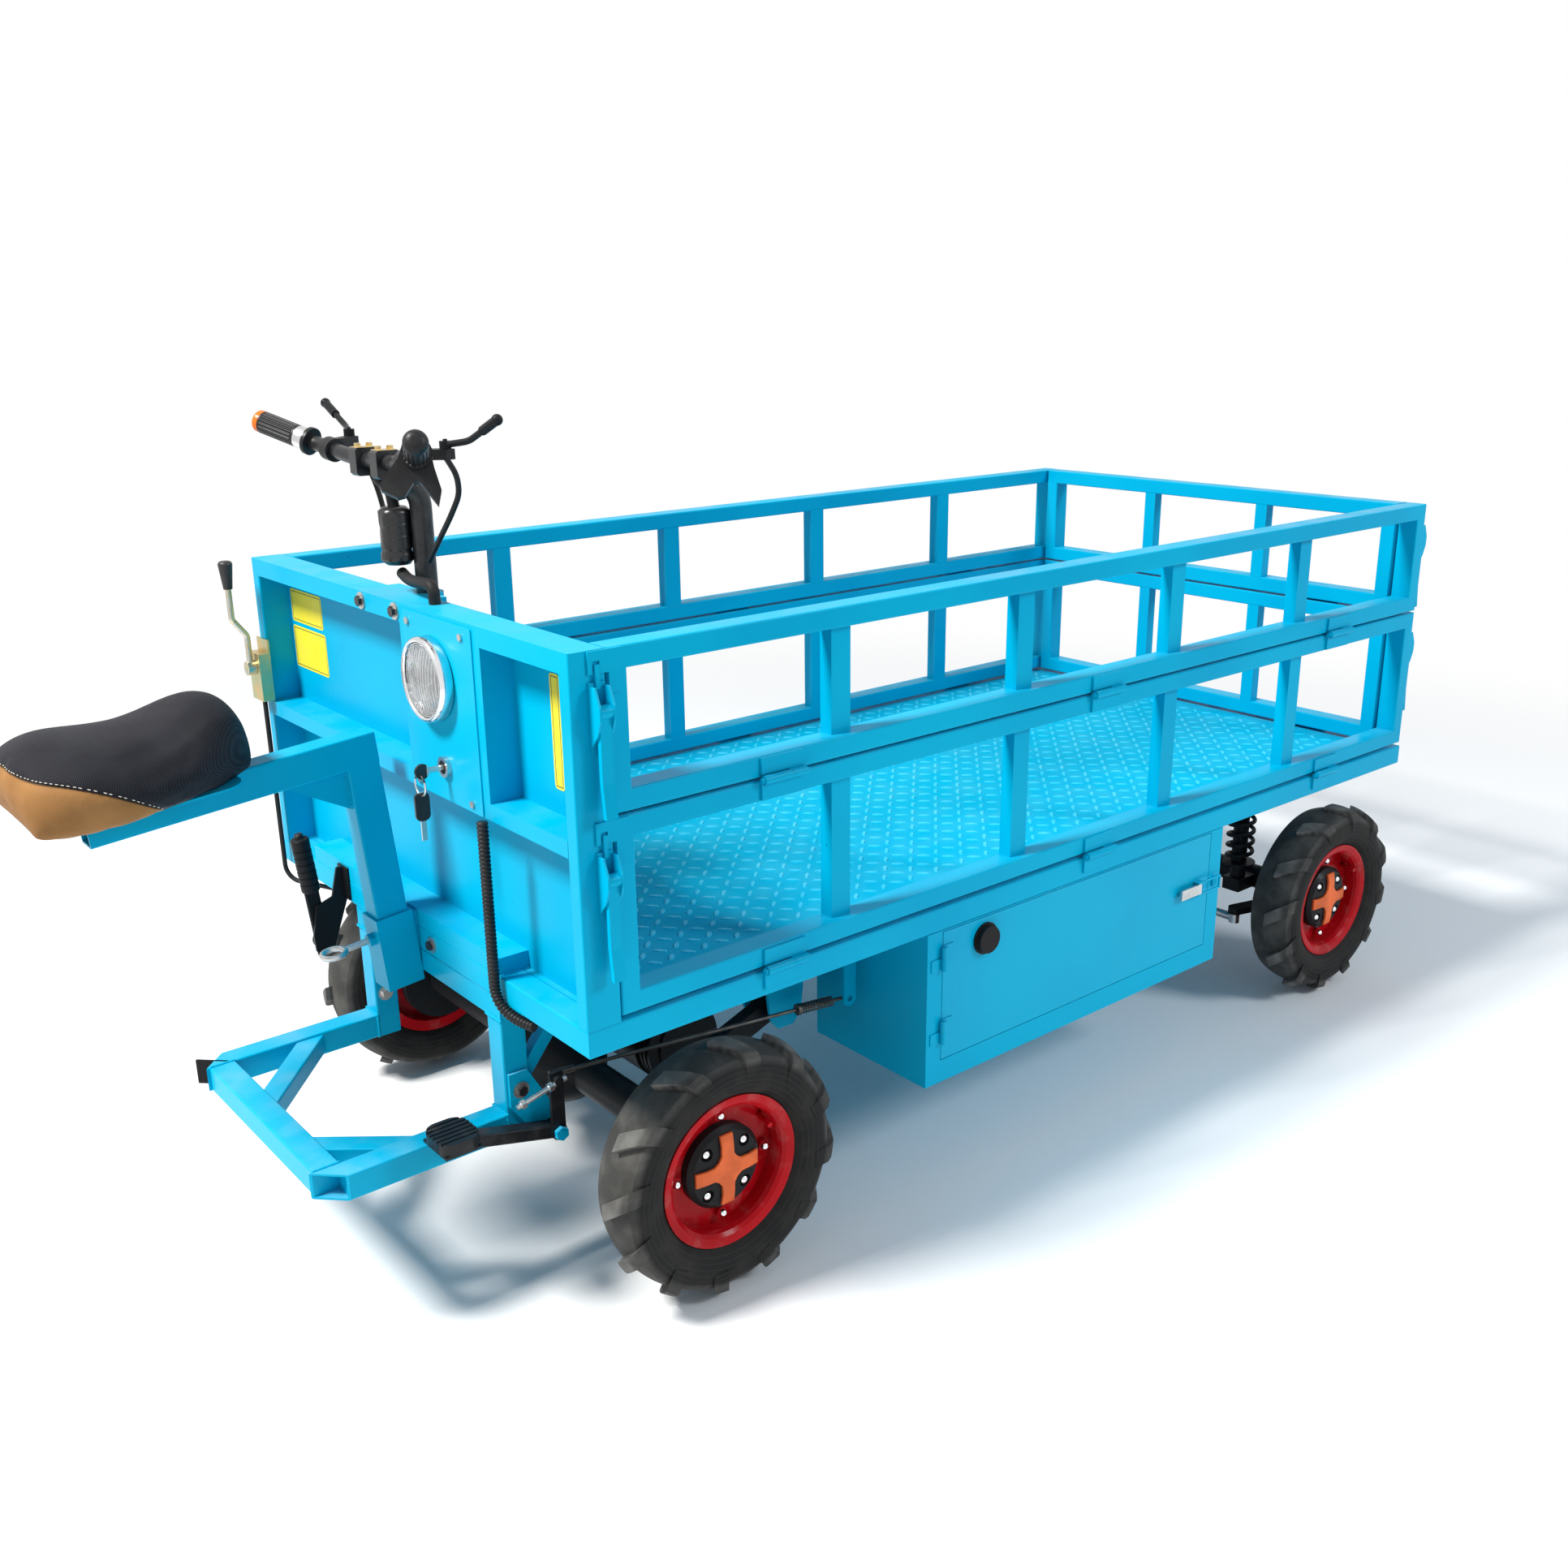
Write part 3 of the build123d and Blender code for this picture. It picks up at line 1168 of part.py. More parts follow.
def brake_lever(side):
    """Ball-ended lever that turns on the perch's pin."""
    low = LEVER_Z - LEVER_BOSS / 2
    high = LEVER_Z + LEVER_BOSS / 2
    body = rod((LEVER_X, side * LEVER_Y, low), (LEVER_X, side * LEVER_Y, high), LEVER_BOSS_R)
    bx, by, bz = LEVER_BALL
    knee = (LEVER_X + 14, side * (LEVER_Y + 40), LEVER_Z + 6)
    body += pipe(((LEVER_X, side * LEVER_Y, LEVER_Z), knee, (bx, side * by, bz)), LEVER_R, 60)
    half_way = tuple((k + e) / 2 for k, e in zip(knee, (bx, side * by, bz)))
    body += rod(half_way, (bx, side * by, bz), LEVER_SLEEVE_R)
    body += Pos(bx, side * by, bz) * Sphere(LEVER_BALL_R)
    y = side * LEVER_Y
    return body - rod((LEVER_X, y, low - 1), (LEVER_X, y, high + 1), LEVER_PIN_R + RUN)


# Conduit and loose cables

def conduit_spot(distance):
    """Point and direction on the conduit's centre line, from the console down and under."""
    straight = CONDUIT_TOP - CONDUIT_BEND_Z
    turn = CONDUIT_BEND_R * math.pi / 2
    aside = Vector(0.30, -0.954, 0).normalized()
    down = Vector(0, 0, -1)
    top = Vector(CONDUIT_X, CONDUIT_Y, CONDUIT_TOP)
    bend = top + down * straight
    if distance <= straight:
        return top + down * distance, down
    if distance <= straight + turn:
        angle = (distance - straight) / CONDUIT_BEND_R
        point = bend + aside * (CONDUIT_BEND_R * (1 - math.cos(angle)))
        point += down * (CONDUIT_BEND_R * math.sin(angle))
        return point, down * math.cos(angle) + aside * math.sin(angle)
    end = bend + aside * CONDUIT_BEND_R + down * CONDUIT_BEND_R
    return end + aside * (distance - straight - turn), aside


def conduit():
    """Corrugated hose: each rib rises, runs flat, falls and leaves a valley."""
    length = CONDUIT_TOP - CONDUIT_BEND_Z + CONDUIT_BEND_R * math.pi / 2 + 24
    pitch = length / CONDUIT_RIBS
    steady = Vector(0.954, 0.30, 0)
    rings = []
    inner = []
    for i in range(CONDUIT_RIBS):
        for share, radius in (
            (0.0, CONDUIT_VALLEY_R), (0.22, CONDUIT_R), (0.62, CONDUIT_R), (0.84, CONDUIT_VALLEY_R)
        ):
            point, way = conduit_spot((i + share) * pitch)
            rings.append(Plane(origin=point, x_dir=steady, z_dir=way) * Circle(radius))
    straight = CONDUIT_TOP - CONDUIT_BEND_Z
    turn = CONDUIT_BEND_R * math.pi / 2
    tail = (CONDUIT_RIBS - 0.16) * pitch
    a, way_a = conduit_spot(0)
    b, way_b = conduit_spot(straight)
    c, way_c = conduit_spot(straight + turn)
    d, way_d = conduit_spot(tail)
    path = Wire([Line(a, b), TangentArc(b, c, tangent=way_b), Line(c, d)])
    bore = sweep(Plane(origin=a, x_dir=steady, z_dir=way_a) * Circle(CONDUIT_BORE_R), path=path)
    return loft(rings, ruled=True) - bore


def control_cables():
    """Shift cable down the left post, and the harness elbow between console and column."""
    x = -BOX_DEPTH + BOX_SHEET + CABLE_R + NEAR
    shift = pipe(
        (
            (x, BOX_Y - 8, BOX_BOTTOM + 30),
            (x, BOX_Y - 12, RAIL_BOTTOM - 26),
            (70, BOX_Y - 140, RAIL_BOTTOM - 40),
        ),
        CABLE_R, 30,
    )
    elbow = cord(
        (
            (33, -99, TOP + NEAR), (32, -99, TOP + 26), (33, -66, TOP + 26),
            (38, -33, TOP + 22), (42, -2, TOP + 22), (45, 22, TOP + 28),
        ),
        HARNESS_R, "Harness elbow",
    )
    return Compound(children=[shift, elbow])


# Foot frame and brake

def foot_frame():
    """Step frame under the front rail: arms, cross tube, braces, uprights and a stay."""
    t = FOOT_TUBE
    half = t / 2
    mid = FOOT_TOP - half
    right = RIGHT_ARM_Y + half
    left = LEFT_ARM_Y + half
    body = block(0, t, RIGHT_ARM_Y, LEFT_ARM_Y + t, RAIL_BOTTOM - 34, RAIL_BOTTOM)
    for y in (right, left):
        body += bar((half, y, FOOT_BOTTOM), (half, y, RAIL_BOTTOM - 30), t, t)
        body += bar((2, y, mid), (-FOOT_REACH, y, mid), t, t)
    cross = -FOOT_CROSS_X - half
    body += bar((cross, RIGHT_ARM_Y + t - 2, mid), (cross, LEFT_ARM_Y + 2, mid), t, t, (1, 0, 0))
    body += bar((-100, left, mid), (cross, 5, mid), t - 8, t - 4, (0, 0, 1))
    body += bar((-124, right, mid), (cross, -130, mid), t - 8, t - 4, (0, 0, 1))
    tip = -FOOT_REACH
    for y in (RIGHT_ARM_Y, LEFT_ARM_Y + t):
        body -= Pos(tip, y, mid) * Rot(0, 0, 45) * Box(t * math.sqrt(2), t * math.sqrt(2), t + 2)
    side = half - FOOT_WALL
    body -= block(tip - 1, tip + FOOT_OPEN, right - side, right + side, mid - side, mid + side)
    cap = Pos(tip + half, left, mid) * Rot(0, 0, 45) * Box(CAP_SHEET, t * math.sqrt(2), t)
    cap = Pos(-CAP_SHEET / 2 * math.sqrt(0.5), CAP_SHEET / 2 * math.sqrt(0.5), 0) * cap
    body += bar((t - 6, right, STAY_Z), (STAY_X, right, RAIL_BOTTOM + 2), 2 * STAY_R, 2 * STAY_R)
    body -= block(t - 10, STAY_X + 60, right - 30, right + 30, RAIL_BOTTOM, RAIL_BOTTOM + 60)
    face = RIGHT_ARM_Y - PEDAL_BRACKET
    profile = Polygon(
        (4, 345), (34, 345), (PEDAL_X + 14, PEDAL_Z + 20), (PEDAL_X + 18, PEDAL_Z - 8),
        (PEDAL_X, PEDAL_Z - 18), (PEDAL_X - 22, PEDAL_Z - 10), (4, 292), align=None,
    )
    place = Plane(origin=(0, face, 0), x_dir=(1, 0, 0), z_dir=(0, -1, 0))
    body += plate(place, profile, PEDAL_BRACKET, (0, 1, 0))
    end = face - NEAR - PEDAL_WIDTH - 10
    body += rod((PEDAL_X, face + 1, PEDAL_Z), (PEDAL_X, end, PEDAL_Z), PEDAL_PIN_R)
    nut = hexagon((PEDAL_X, end + 9, PEDAL_Z), (0, -1, 0), PEDAL_PIN_R + 5, 8)
    return Compound(children=[body + nut, cap])


def pedal_y():
    """Outer and inner limits of the pedal's boss."""
    inner = RIGHT_ARM_Y - PEDAL_BRACKET - NEAR
    return inner - PEDAL_WIDTH, inner


def brake_pedal():
    """Boss, cranked arm with a rubber pad, upright strap and threaded adjuster."""
    y0, y1 = pedal_y()
    middle = (y0 + y1) / 2
    body = rod((PEDAL_X, y0, PEDAL_Z), (PEDAL_X, y1, PEDAL_Z), PEDAL_BOSS_R)
    body += bar((PEDAL_X, middle, PEDAL_Z), (PEDAL_ARM_X, middle, PEDAL_ARM_Z - 10), PEDAL_WIDTH, 20)
    strap = y0 + PEDAL_STRAP
    body += block(PEDAL_X - 11, PEDAL_X + 11, y0, strap, PEDAL_Z, PEDAL_Z + PEDAL_UP + 12)
    top = PEDAL_Z + PEDAL_UP
    body += rod((PEDAL_X + 8, y0 - 4, top), (PEDAL_X - 70, y0 - 4, top - 19), 4)
    body += rod((PEDAL_X, y0 - 8, top), (PEDAL_X, strap + 8, top), 7)
    body += block(PEDAL_ARM_X - 28, PEDAL_ARM_X + 28, y0 - 42, y1, PEDAL_ARM_Z - 4, PEDAL_ARM_Z)
    body -= rod((PEDAL_X, y0 - 1, PEDAL_Z), (PEDAL_X, y1 + 1, PEDAL_Z), PEDAL_PIN_R + RUN)
    pad = block(PEDAL_ARM_X - 31, PEDAL_ARM_X + 31, y0 - 45, y1, PEDAL_ARM_Z, PEDAL_ARM_Z + PEDAL_PAD)
    pad = fillet(pad.edges().filter_by(Axis.Z), 22)
    high = PEDAL_ARM_Z + PEDAL_PAD
    pitch = (y1 - y0 + 45) / (PAD_GROOVES + 1)
    for i in range(PAD_GROOVES):
        y = y0 - 45 + pitch * (i + 1)
        pad -= block(PEDAL_ARM_X - 32, PEDAL_ARM_X + 32, y, y + PAD_GROOVE, high - PAD_GROOVE, high + 1)
    return Compound(children=[body, pad])


def cable_ends():
    """Where the brake cable passes the pedal's strap and the brake link."""
    y0 = pedal_y()[0]
    start = (PEDAL_X, y0 + PEDAL_STRAP + 8 + NEAR + CLEVIS_R + 2, PEDAL_Z + PEDAL_UP)
    end = (LINK_X, LINK_Y + LINK_SHEET + NEAR + BRAKE_CABLE_R, LINK_Z - LINK_DROP)
    return start, end


def brake_cable():
    """Cable with a clevis tube at the pedal and the return spring at the link."""
    start, end = cable_ends()
    a = Vector(*start)
    b = Vector(*end)
    way = (b - a).normalized()
    cable = rod(start, end, BRAKE_CABLE_R)
    cable += rod(start, tuple(a + way * 40), CLEVIS_R)
    seat = b - way * (RETURN_LENGTH + 30)
    cable += rod(tuple(seat - way * 6), tuple(seat), RETURN_COIL_R + 2)
    spring = coil(RETURN_COIL_R, RETURN_WIRE_R, RETURN_TURNS, RETURN_LENGTH, "Return spring")
    place = Plane(origin=seat + way * (RETURN_WIRE_R + NEAR), z_dir=way)
    return Compound(children=[cable, place * spring])


def brake_link():
    """Flat link that hangs from its bracket and is pulled at its lower eye."""
    half = LINK_WIDTH / 2
    low = LINK_Z - LINK_DROP
    body = extrude(
        Plane(origin=(LINK_X, LINK_Y, (LINK_Z + low) / 2), x_dir=(0, 0, 1), z_dir=(0, 1, 0))
        * SlotCenterToCenter(LINK_DROP, LINK_WIDTH), amount=LINK_SHEET,
    )
    body -= rod((LINK_X, LINK_Y - 1, LINK_Z), (LINK_X, LINK_Y + LINK_SHEET + 1, LINK_Z), LINK_PIN_R + RUN)
    return body - rod((LINK_X, LINK_Y - 1, low), (LINK_X, LINK_Y + LINK_SHEET + 1, low), half * 0.4)


# Battery box

def battery_box():
    """Sheet box hung under the right rail, open in front for the door."""
    x1 = BATTERY_X + BATTERY_LENGTH
    t = BOX_WALL
    body = block(BATTERY_X, x1, -HALF_WIDTH, BATTERY_INNER_Y, BATTERY_BOTTOM, RAIL_BOTTOM)
    body -= block(
        BATTERY_X + t, x1 - t,
        -HALF_WIDTH + t, BATTERY_INNER_Y - t,
        BATTERY_BOTTOM + t, RAIL_BOTTOM - t,
    )
    mouth_x1 = DOOR_FROM_X + DOOR_LENGTH
    top = RAIL_BOTTOM - DOOR_TOP_GAP
    body -= block(DOOR_FROM_X, mouth_x1, -HALF_WIDTH - 1, -HALF_WIDTH + t + 1, DOOR_BOTTOM, top)
    for z in DOOR_HINGES:
        body += door_hinge(z, -1)
    y0 = LINK_Y + LINK_SHEET + NEAR
    half = LINK_WIDTH / 2
    body += block(LINK_X - half, BATTERY_X + 1, y0, y0 + HANGER_SHEET, LINK_Z - half, LINK_Z + 2 * half)
    body += rod((LINK_X, y0, LINK_Z), (LINK_X, LINK_Y - 6, LINK_Z), LINK_PIN_R)
    lug = block(
        mouth_x1 + 10, mouth_x1 + 20,
        -HALF_WIDTH - 4, -HALF_WIDTH + 1,
        DOOR_LATCH_Z - 8, DOOR_LATCH_Z + 8,
    )
    return body + lug


def door_axis():
    """X and Y of the door's hinge pins."""
    return DOOR_FROM_X - 1, -HALF_WIDTH - DOOR_HINGE_OUT


def door_hinge(z, way):
    """Half hinge: below its middle on the box with the pin, above it on the door."""
    x, y = door_axis()
    face = -HALF_WIDTH
    half = DOOR_HINGE_TALL / 2
    low, high = (z - half, z - NEAR / 2) if way < 0 else (z + NEAR / 2, z + half)
    tail = x + way * DOOR_LEAF
    start = x + way * 2
    leaf = block(min(start, tail), max(start, tail), face - 2, face + 0.5, low, high)
    neck = block(x - 2, x + 2, y, face - 2, low, high) if way < 0 else block(x, x + 4, y, face, low, high)
    body = leaf + neck + rod((x, y, low), (x, y, high), DOOR_KNUCKLE_R)
    if way < 0:
        neck_leaf = block(x - 2, x, face - 2, face + 0.5, low, high)
        return body + neck_leaf + rod((x, y, low), (x, y, z + half + 2), DOOR_PIN_R)
    return body - rod((x, y, low - 1), (x, y, high + 1), DOOR_PIN_R + RUN)


def battery_door():
    """Folded door with its hinge halves, and the charge port's flap."""
    x0 = DOOR_FROM_X + DOOR_GAP
    x1 = DOOR_FROM_X + DOOR_LENGTH - DOOR_GAP
    z0 = DOOR_BOTTOM + DOOR_GAP
    z1 = RAIL_BOTTOM - DOOR_TOP_GAP - DOOR_GAP
    t = BOX_WALL
    face = -HALF_WIDTH
    body = block(x0, x1, face, face + DOOR_DEPTH, z0, z1)
    body -= block(x0 + t, x1 - t, face + t, face + DOOR_DEPTH + 1, z0 + t, z1 - t)
    for z in DOOR_HINGES:
        body += door_hinge(z, 1)
    x, y = DOOR_LATCH_X, face - DOOR_LATCH_OUT
    end = DOOR_FROM_X + DOOR_LENGTH + 24
    for z in (DOOR_LATCH_Z - 13, DOOR_LATCH_Z + 10):
        body += block(x - 8, x + 8, y - 4, face + 1, z, z + 3)
        body += block(x + 4, end, y - 3, y, z, z + 3)
    body += block(end - 3, end, y - 3, y, DOOR_LATCH_Z - 13, DOOR_LATCH_Z + 13)
    body += rod((x, y, DOOR_LATCH_Z - 13), (x, y, DOOR_LATCH_Z + 13), DOOR_LATCH_PIN_R)
    port = rod((PORT_X, face, PORT_Z), (PORT_X, face - 3, PORT_Z), PORT_R + 4)
    port += rod((PORT_X, face, PORT_Z), (PORT_X, face - PORT_DEPTH, PORT_Z), PORT_R)
    return Compound(children=[body, port])


def door_latch():
    """Lever of the draw latch."""
    face = -HALF_WIDTH
    x, y = DOOR_LATCH_X, face - DOOR_LATCH_OUT
    half = 10 - NEAR
    z0 = DOOR_LATCH_Z - half
    z1 = DOOR_LATCH_Z + half
    body = rod((x, y, z0), (x, y, z1), 4.5)
    body += block(x - 58, x, y - 4, y + 1, z0, z1)
    return body - rod((x, y, z0 - 1), (x, y, z1 + 1), DOOR_LATCH_PIN_R + RUN)


def battery_pack():
    """Row of batteries standing on the box's floor."""
    x0 = BATTERY_X + CELL_INSET
    x1 = BATTERY_X + BATTERY_LENGTH - CELL_INSET
    wide = (x1 - x0 - (CELLS - 1) * CELL_GAP) / CELLS
    y0 = -HALF_WIDTH + CELL_INSET + DOOR_DEPTH
    y1 = BATTERY_INNER_Y - CELL_INSET
    floor = BATTERY_BOTTOM + BOX_WALL
    cells = []
    for i in range(CELLS):
        x = x0 + i * (wide + CELL_GAP)
        cell = block(x, x + wide, y0, y1, floor, floor + CELL_HEIGHT)
        for y in (y0 + 30, y1 - 30):
            cell += rod((x + 24, y, floor + CELL_HEIGHT - 1), (x + 24, y, floor + CELL_HEIGHT + 14), 8)
        cells.append(cell)
    return Compound(children=cells)


# Wheels, in their own frame: axis along Z, outboard up

def tyre():
    """Carcass with two rows of lugs that sweep back from the middle."""
    bead = RIM_SEAT_R + NEAR
    lip = RIM_HALF - RIM_LIP
    edge = RIM_FLANGE_R + NEAR
    shoulder = CARCASS_R - 9
    half = []
    for side in (-1, 1):
        half.append([
            (bead, side * (lip - 5.5)), (edge, side * (lip - 0.8)),
            (edge + 28, side * TYRE_HALF), (shoulder, side * (TYRE_HALF - 9)),
        ])
    (a, b, m, c), (e, f, n, g) = half
    section = make_face([
        Line(a, b), ThreePointArc(b, m, c), ThreePointArc(c, (CARCASS_R, 0), g),
        ThreePointArc(g, n, f), Line(f, e), Line(e, a),
    ])
    body = revolve(Plane.XZ * section, Axis.Z)
    wide = TYRE_HALF + 1.5
    low = edge + 30
    envelope = make_face([
        Line((low, -wide), (shoulder, -wide + 1)),
        Line((shoulder, -wide + 1), (TYRE_R - 13, -wide + 5)),
        ThreePointArc((TYRE_R - 13, -wide + 5), (TYRE_R, 0), (TYRE_R - 13, wide - 5)),
        Line((TYRE_R - 13, wide - 5), (shoulder, wide - 1)),
        Line((shoulder, wide - 1), (low, wide)),
        Line((low, wide), (low, -wide)),
    ])
    shell = revolve(Plane.XZ * envelope, Axis.Z)
    back = LUG_LENGTH_T
    end = TYRE_HALF + 4
    lugs = []
    for side, phase in ((1, 0.0), (-1, 0.5)):
        outline = Polygon(
            (-LUG_WIDTH / 2, side * LUG_START), (LUG_WIDTH / 2, side * LUG_START),
            (LUG_WIDTH / 2 - back, side * end), (-LUG_WIDTH / 2 - back, side * end), align=None,
        )
        place = Plane(origin=(low, 0, 0), x_dir=(0, 1, 0), z_dir=(1, 0, 0))
        lug = extrude(place * outline, amount=TYRE_R - low + 10) & shell
        for i in range(LUGS):
            lugs.append(Rot(0, 0, 360 * (i + phase) / LUGS) * lug)
    return body.fuse(*lugs)


def rim():
    """Dished steel rim with its hub, a flat hub cap and four bolts."""
    lip = RIM_HALF - RIM_LIP
    disc = DISC_AT + DISC_SHEET
    bore = STUB_R + RUN
    section = Polyline(
        (RIM_FLANGE_R, RIM_HALF), (RIM_FLANGE_R, lip), (RIM_SEAT_R + 2, lip - 2), (RIM_SEAT_R, lip - 5),
        (RIM_SEAT_R, 5 - lip), (RIM_SEAT_R + 2, 2 - lip), (RIM_FLANGE_R, -lip), (RIM_FLANGE_R, -RIM_HALF),
        (RIM_INNER_R + 2, 2 - RIM_HALF), (RIM_INNER_R, 6 - RIM_HALF), (RIM_INNER_R, DISC_AT),
        (HUB_R + 12, DISC_AT), (HUB_R, DISC_AT - 8), (HUB_R, HUB_BACK), (bore, HUB_BACK), (bore, HUB_FRONT),
        (HUB_R - 2, HUB_FRONT), (HUB_R - 2, disc), (RIM_INNER_R, disc), (RIM_INNER_R, RIM_HALF - 14),
        (RIM_INNER_R + 2.5, RIM_HALF - 7), (RIM_INNER_R + 8, RIM_HALF - 2.5),
        (RIM_FLANGE_R - 4, RIM_HALF), close=True,
    )
    body = revolve(Plane.XZ * make_face(section), Axis.Z)
    for i in range(RIM_BOLTS):
        turn = Rot(0, 0, 360 * i / RIM_BOLTS)
        body += turn * rod((RIM_BOLT_PCD_R, 0, disc - 1), (RIM_BOLT_PCD_R, 0, disc + RIM_BOLT), RIM_BOLT_R)
    stem = (RIM_INNER_R - 6, 0, disc + 4), (RIM_INNER_R - 10, 0, disc + 34)
    body += Rot(0, 0, 33) * (rod(*stem, 4) + rod((RIM_INNER_R + 2, 0, disc + 8), stem[0], 4))
    top = disc + CAP_TALL
    inside = HUB_R - 2 + NEAR
    outline = make_face(Polyline(
        (inside, disc), (CAP_R, disc), (CAP_R, top - 10), (CAP_R - 7, top - 3), (CAP_R - 36, top), (0, top),
        (0, HUB_FRONT + NEAR), (inside, HUB_FRONT + NEAR), close=True,
    ))
    cap = revolve(Plane.XZ * outline, Axis.Z)
    for i in range(RIM_BOLTS):
        turn = Rot(0, 0, 45 + 360 * i / RIM_BOLTS)
        cap -= turn * rod(
            (CAP_RECESS_PCD_R, 0, top - CAP_RECESS), (CAP_RECESS_PCD_R, 0, top + 1), CAP_RECESS_R
        )
    return Compound(children=[body, cap])


def wheel_at(shape, x, side):
    """Set a wheel piece on its axle, with its outboard face away from the deck."""
    turn = Rot(-90, 0, 0) if side > 0 else Rot(90, 0, 0)
    return Pos(x, side * WHEEL_Y, AXLE_Z) * turn * shape


# Driven axle

def rear_axle():
    """Axle tube with differential, gear case, brake drums, stubs and trailing arms."""
    x = REAR_X
    z = AXLE_Z
    body = rod((x, -DRUM_IN, z), (x, DRUM_IN, z), AXLE_TUBE_R)
    end = DIFF_HALF + DIFF_TAPER
    half = make_face([
        Line((0, -end), (AXLE_TUBE_R, -end)),
        ThreePointArc((AXLE_TUBE_R, -end), (DIFF_R - 12, -DIFF_HALF), (DIFF_R, 0)),
        ThreePointArc((DIFF_R, 0), (DIFF_R - 12, DIFF_HALF), (AXLE_TUBE_R, end)),
        Line((AXLE_TUBE_R, end), (0, end)), Line((0, end), (0, -end)),
    ])
    body += Pos(x, 0, z) * Rot(90, 0, 0) * revolve(Plane.XZ * half, Axis.Z)
    place = Plane(origin=(x, GEARCASE_Y, z), x_dir=(MOTOR_DX, 0, MOTOR_DZ), z_dir=(0, 1, 0))
    long = math.hypot(MOTOR_DX, MOTOR_DZ)
    body += extrude(place * Pos(long / 2, 0) * SlotCenterToCenter(long, 2 * GEARCASE_R), amount=GEARCASE)
    hub_back = WHEEL_Y + HUB_BACK - NEAR
    hub_front = WHEEL_Y + HUB_FRONT - 2
    for side in (-1, 1):
        body += rod((x, side * DRUM_IN, z), (x, side * (DRUM_IN + DRUM_WIDTH), z), DRUM_R)
        body += rod((x, side * DRUM_IN, z), (x, side * hub_back, z), STUB_R + 8)
        body += rod((x, side * DRUM_IN, z), (x, side * hub_front, z), STUB_R)
        y = side * PIVOT_Y
        body += bar((x, y, z), (PIVOT_X, y, PIVOT_Z), TRAIL_WIDE, TRAIL_TALL)
        ends = (PIVOT_X, y - BUSH_LENGTH / 2, PIVOT_Z), (PIVOT_X, y + BUSH_LENGTH / 2, PIVOT_Z)
        body += rod(*ends, BUSH_R)
        body -= rod(
            (PIVOT_X, y - BUSH_LENGTH, PIVOT_Z),
            (PIVOT_X, y + BUSH_LENGTH, PIVOT_Z),
            PIVOT_PIN_R + RUN,
        )
    return body


def drive_motor():
    """Motor on the gear case, with a finned end bell."""
    x = REAR_X + MOTOR_DX
    z = AXLE_Z + MOTOR_DZ
    end = GEARCASE_Y - MOTOR_LENGTH
    body = rod((x, GEARCASE_Y, z), (x, end + 40, z), MOTOR_R)
    for i in range(3):
        y = end + 40 - 12 * i
        body += rod((x, y, z), (x, y - 6, z), MOTOR_R - 14)
        body += rod((x, y - 6, z), (x, y - 12, z), MOTOR_R - 4)
    body += rod((x, end + 4, z), (x, end, z), MOTOR_R - 25)
    return body


# Steered axle

def front_axle():
    """Beam with a kingpin boss at each end and the shocks' lower seats."""
    x = FRONT_X
    z = AXLE_Z
    body = rod((x, -KINGPIN_Y, z), (x, KINGPIN_Y, z), BEAM_R)
    for side in (-1, 1):
        y = side * KINGPIN_Y
        body += rod((x, y, z - BOSS_HALF), (x, y, z + BOSS_HALF), BOSS_R)
        body -= rod((x, y, z - BOSS_HALF - 1), (x, y, z + BOSS_HALF + 1), KINGPIN_R + RUN)
        y = side * SHOCK_Y
        body += block(SHOCK_X - 24, x, y - 20, y + 20, z - 14, z + 14)
        body += rod((SHOCK_X, y, z - 14), (SHOCK_X, y, SHOCK_TOP_Z - SHOCK_TRAVEL - 42), SHOCK_BODY_R)
        body += rod((SHOCK_X, y, SHOCK_SEAT_Z - SHOCK_CUP), (SHOCK_X, y, SHOCK_SEAT_Z), SHOCK_CUP_R)
        bore = rod((SHOCK_X, y, SHOCK_SEAT_Z + 30), (SHOCK_X, y, SHOCK_TOP_Z), SHOCK_ROD_R + RUN)
        body -= bore
    return body


def shock_springs():
    """The two coil springs between their seats."""
    length = SHOCK_TOP_Z - SHOCK_SEAT_Z - 2 * (COIL_WIRE_R + NEAR)
    spring = coil(COIL_R, COIL_WIRE_R, COIL_TURNS, length, "Shock spring")
    low = SHOCK_SEAT_Z + COIL_WIRE_R + NEAR
    return Compound(children=[Pos(SHOCK_X, y, low) * spring for y in (-SHOCK_Y, SHOCK_Y)])


def steer_arm_end(side):
    """Centre of a tie rod ball under its arm."""
    return FRONT_X - ARM_DX, side * (KINGPIN_Y - ARM_DY)


def flat_arm(start, end, wide, z0, z1):
    """Round-ended flat bar between two points seen from above."""
    a = Vector(*start)
    b = Vector(*end)
    way = b - a
    middle = (a + b) * 0.5
    place = Plane(origin=(middle.X, middle.Y, z0), x_dir=(way.X, way.Y, 0), z_dir=(0, 0, 1))
    return extrude(place * SlotCenterToCenter(way.length, wide), amount=z1 - z0)


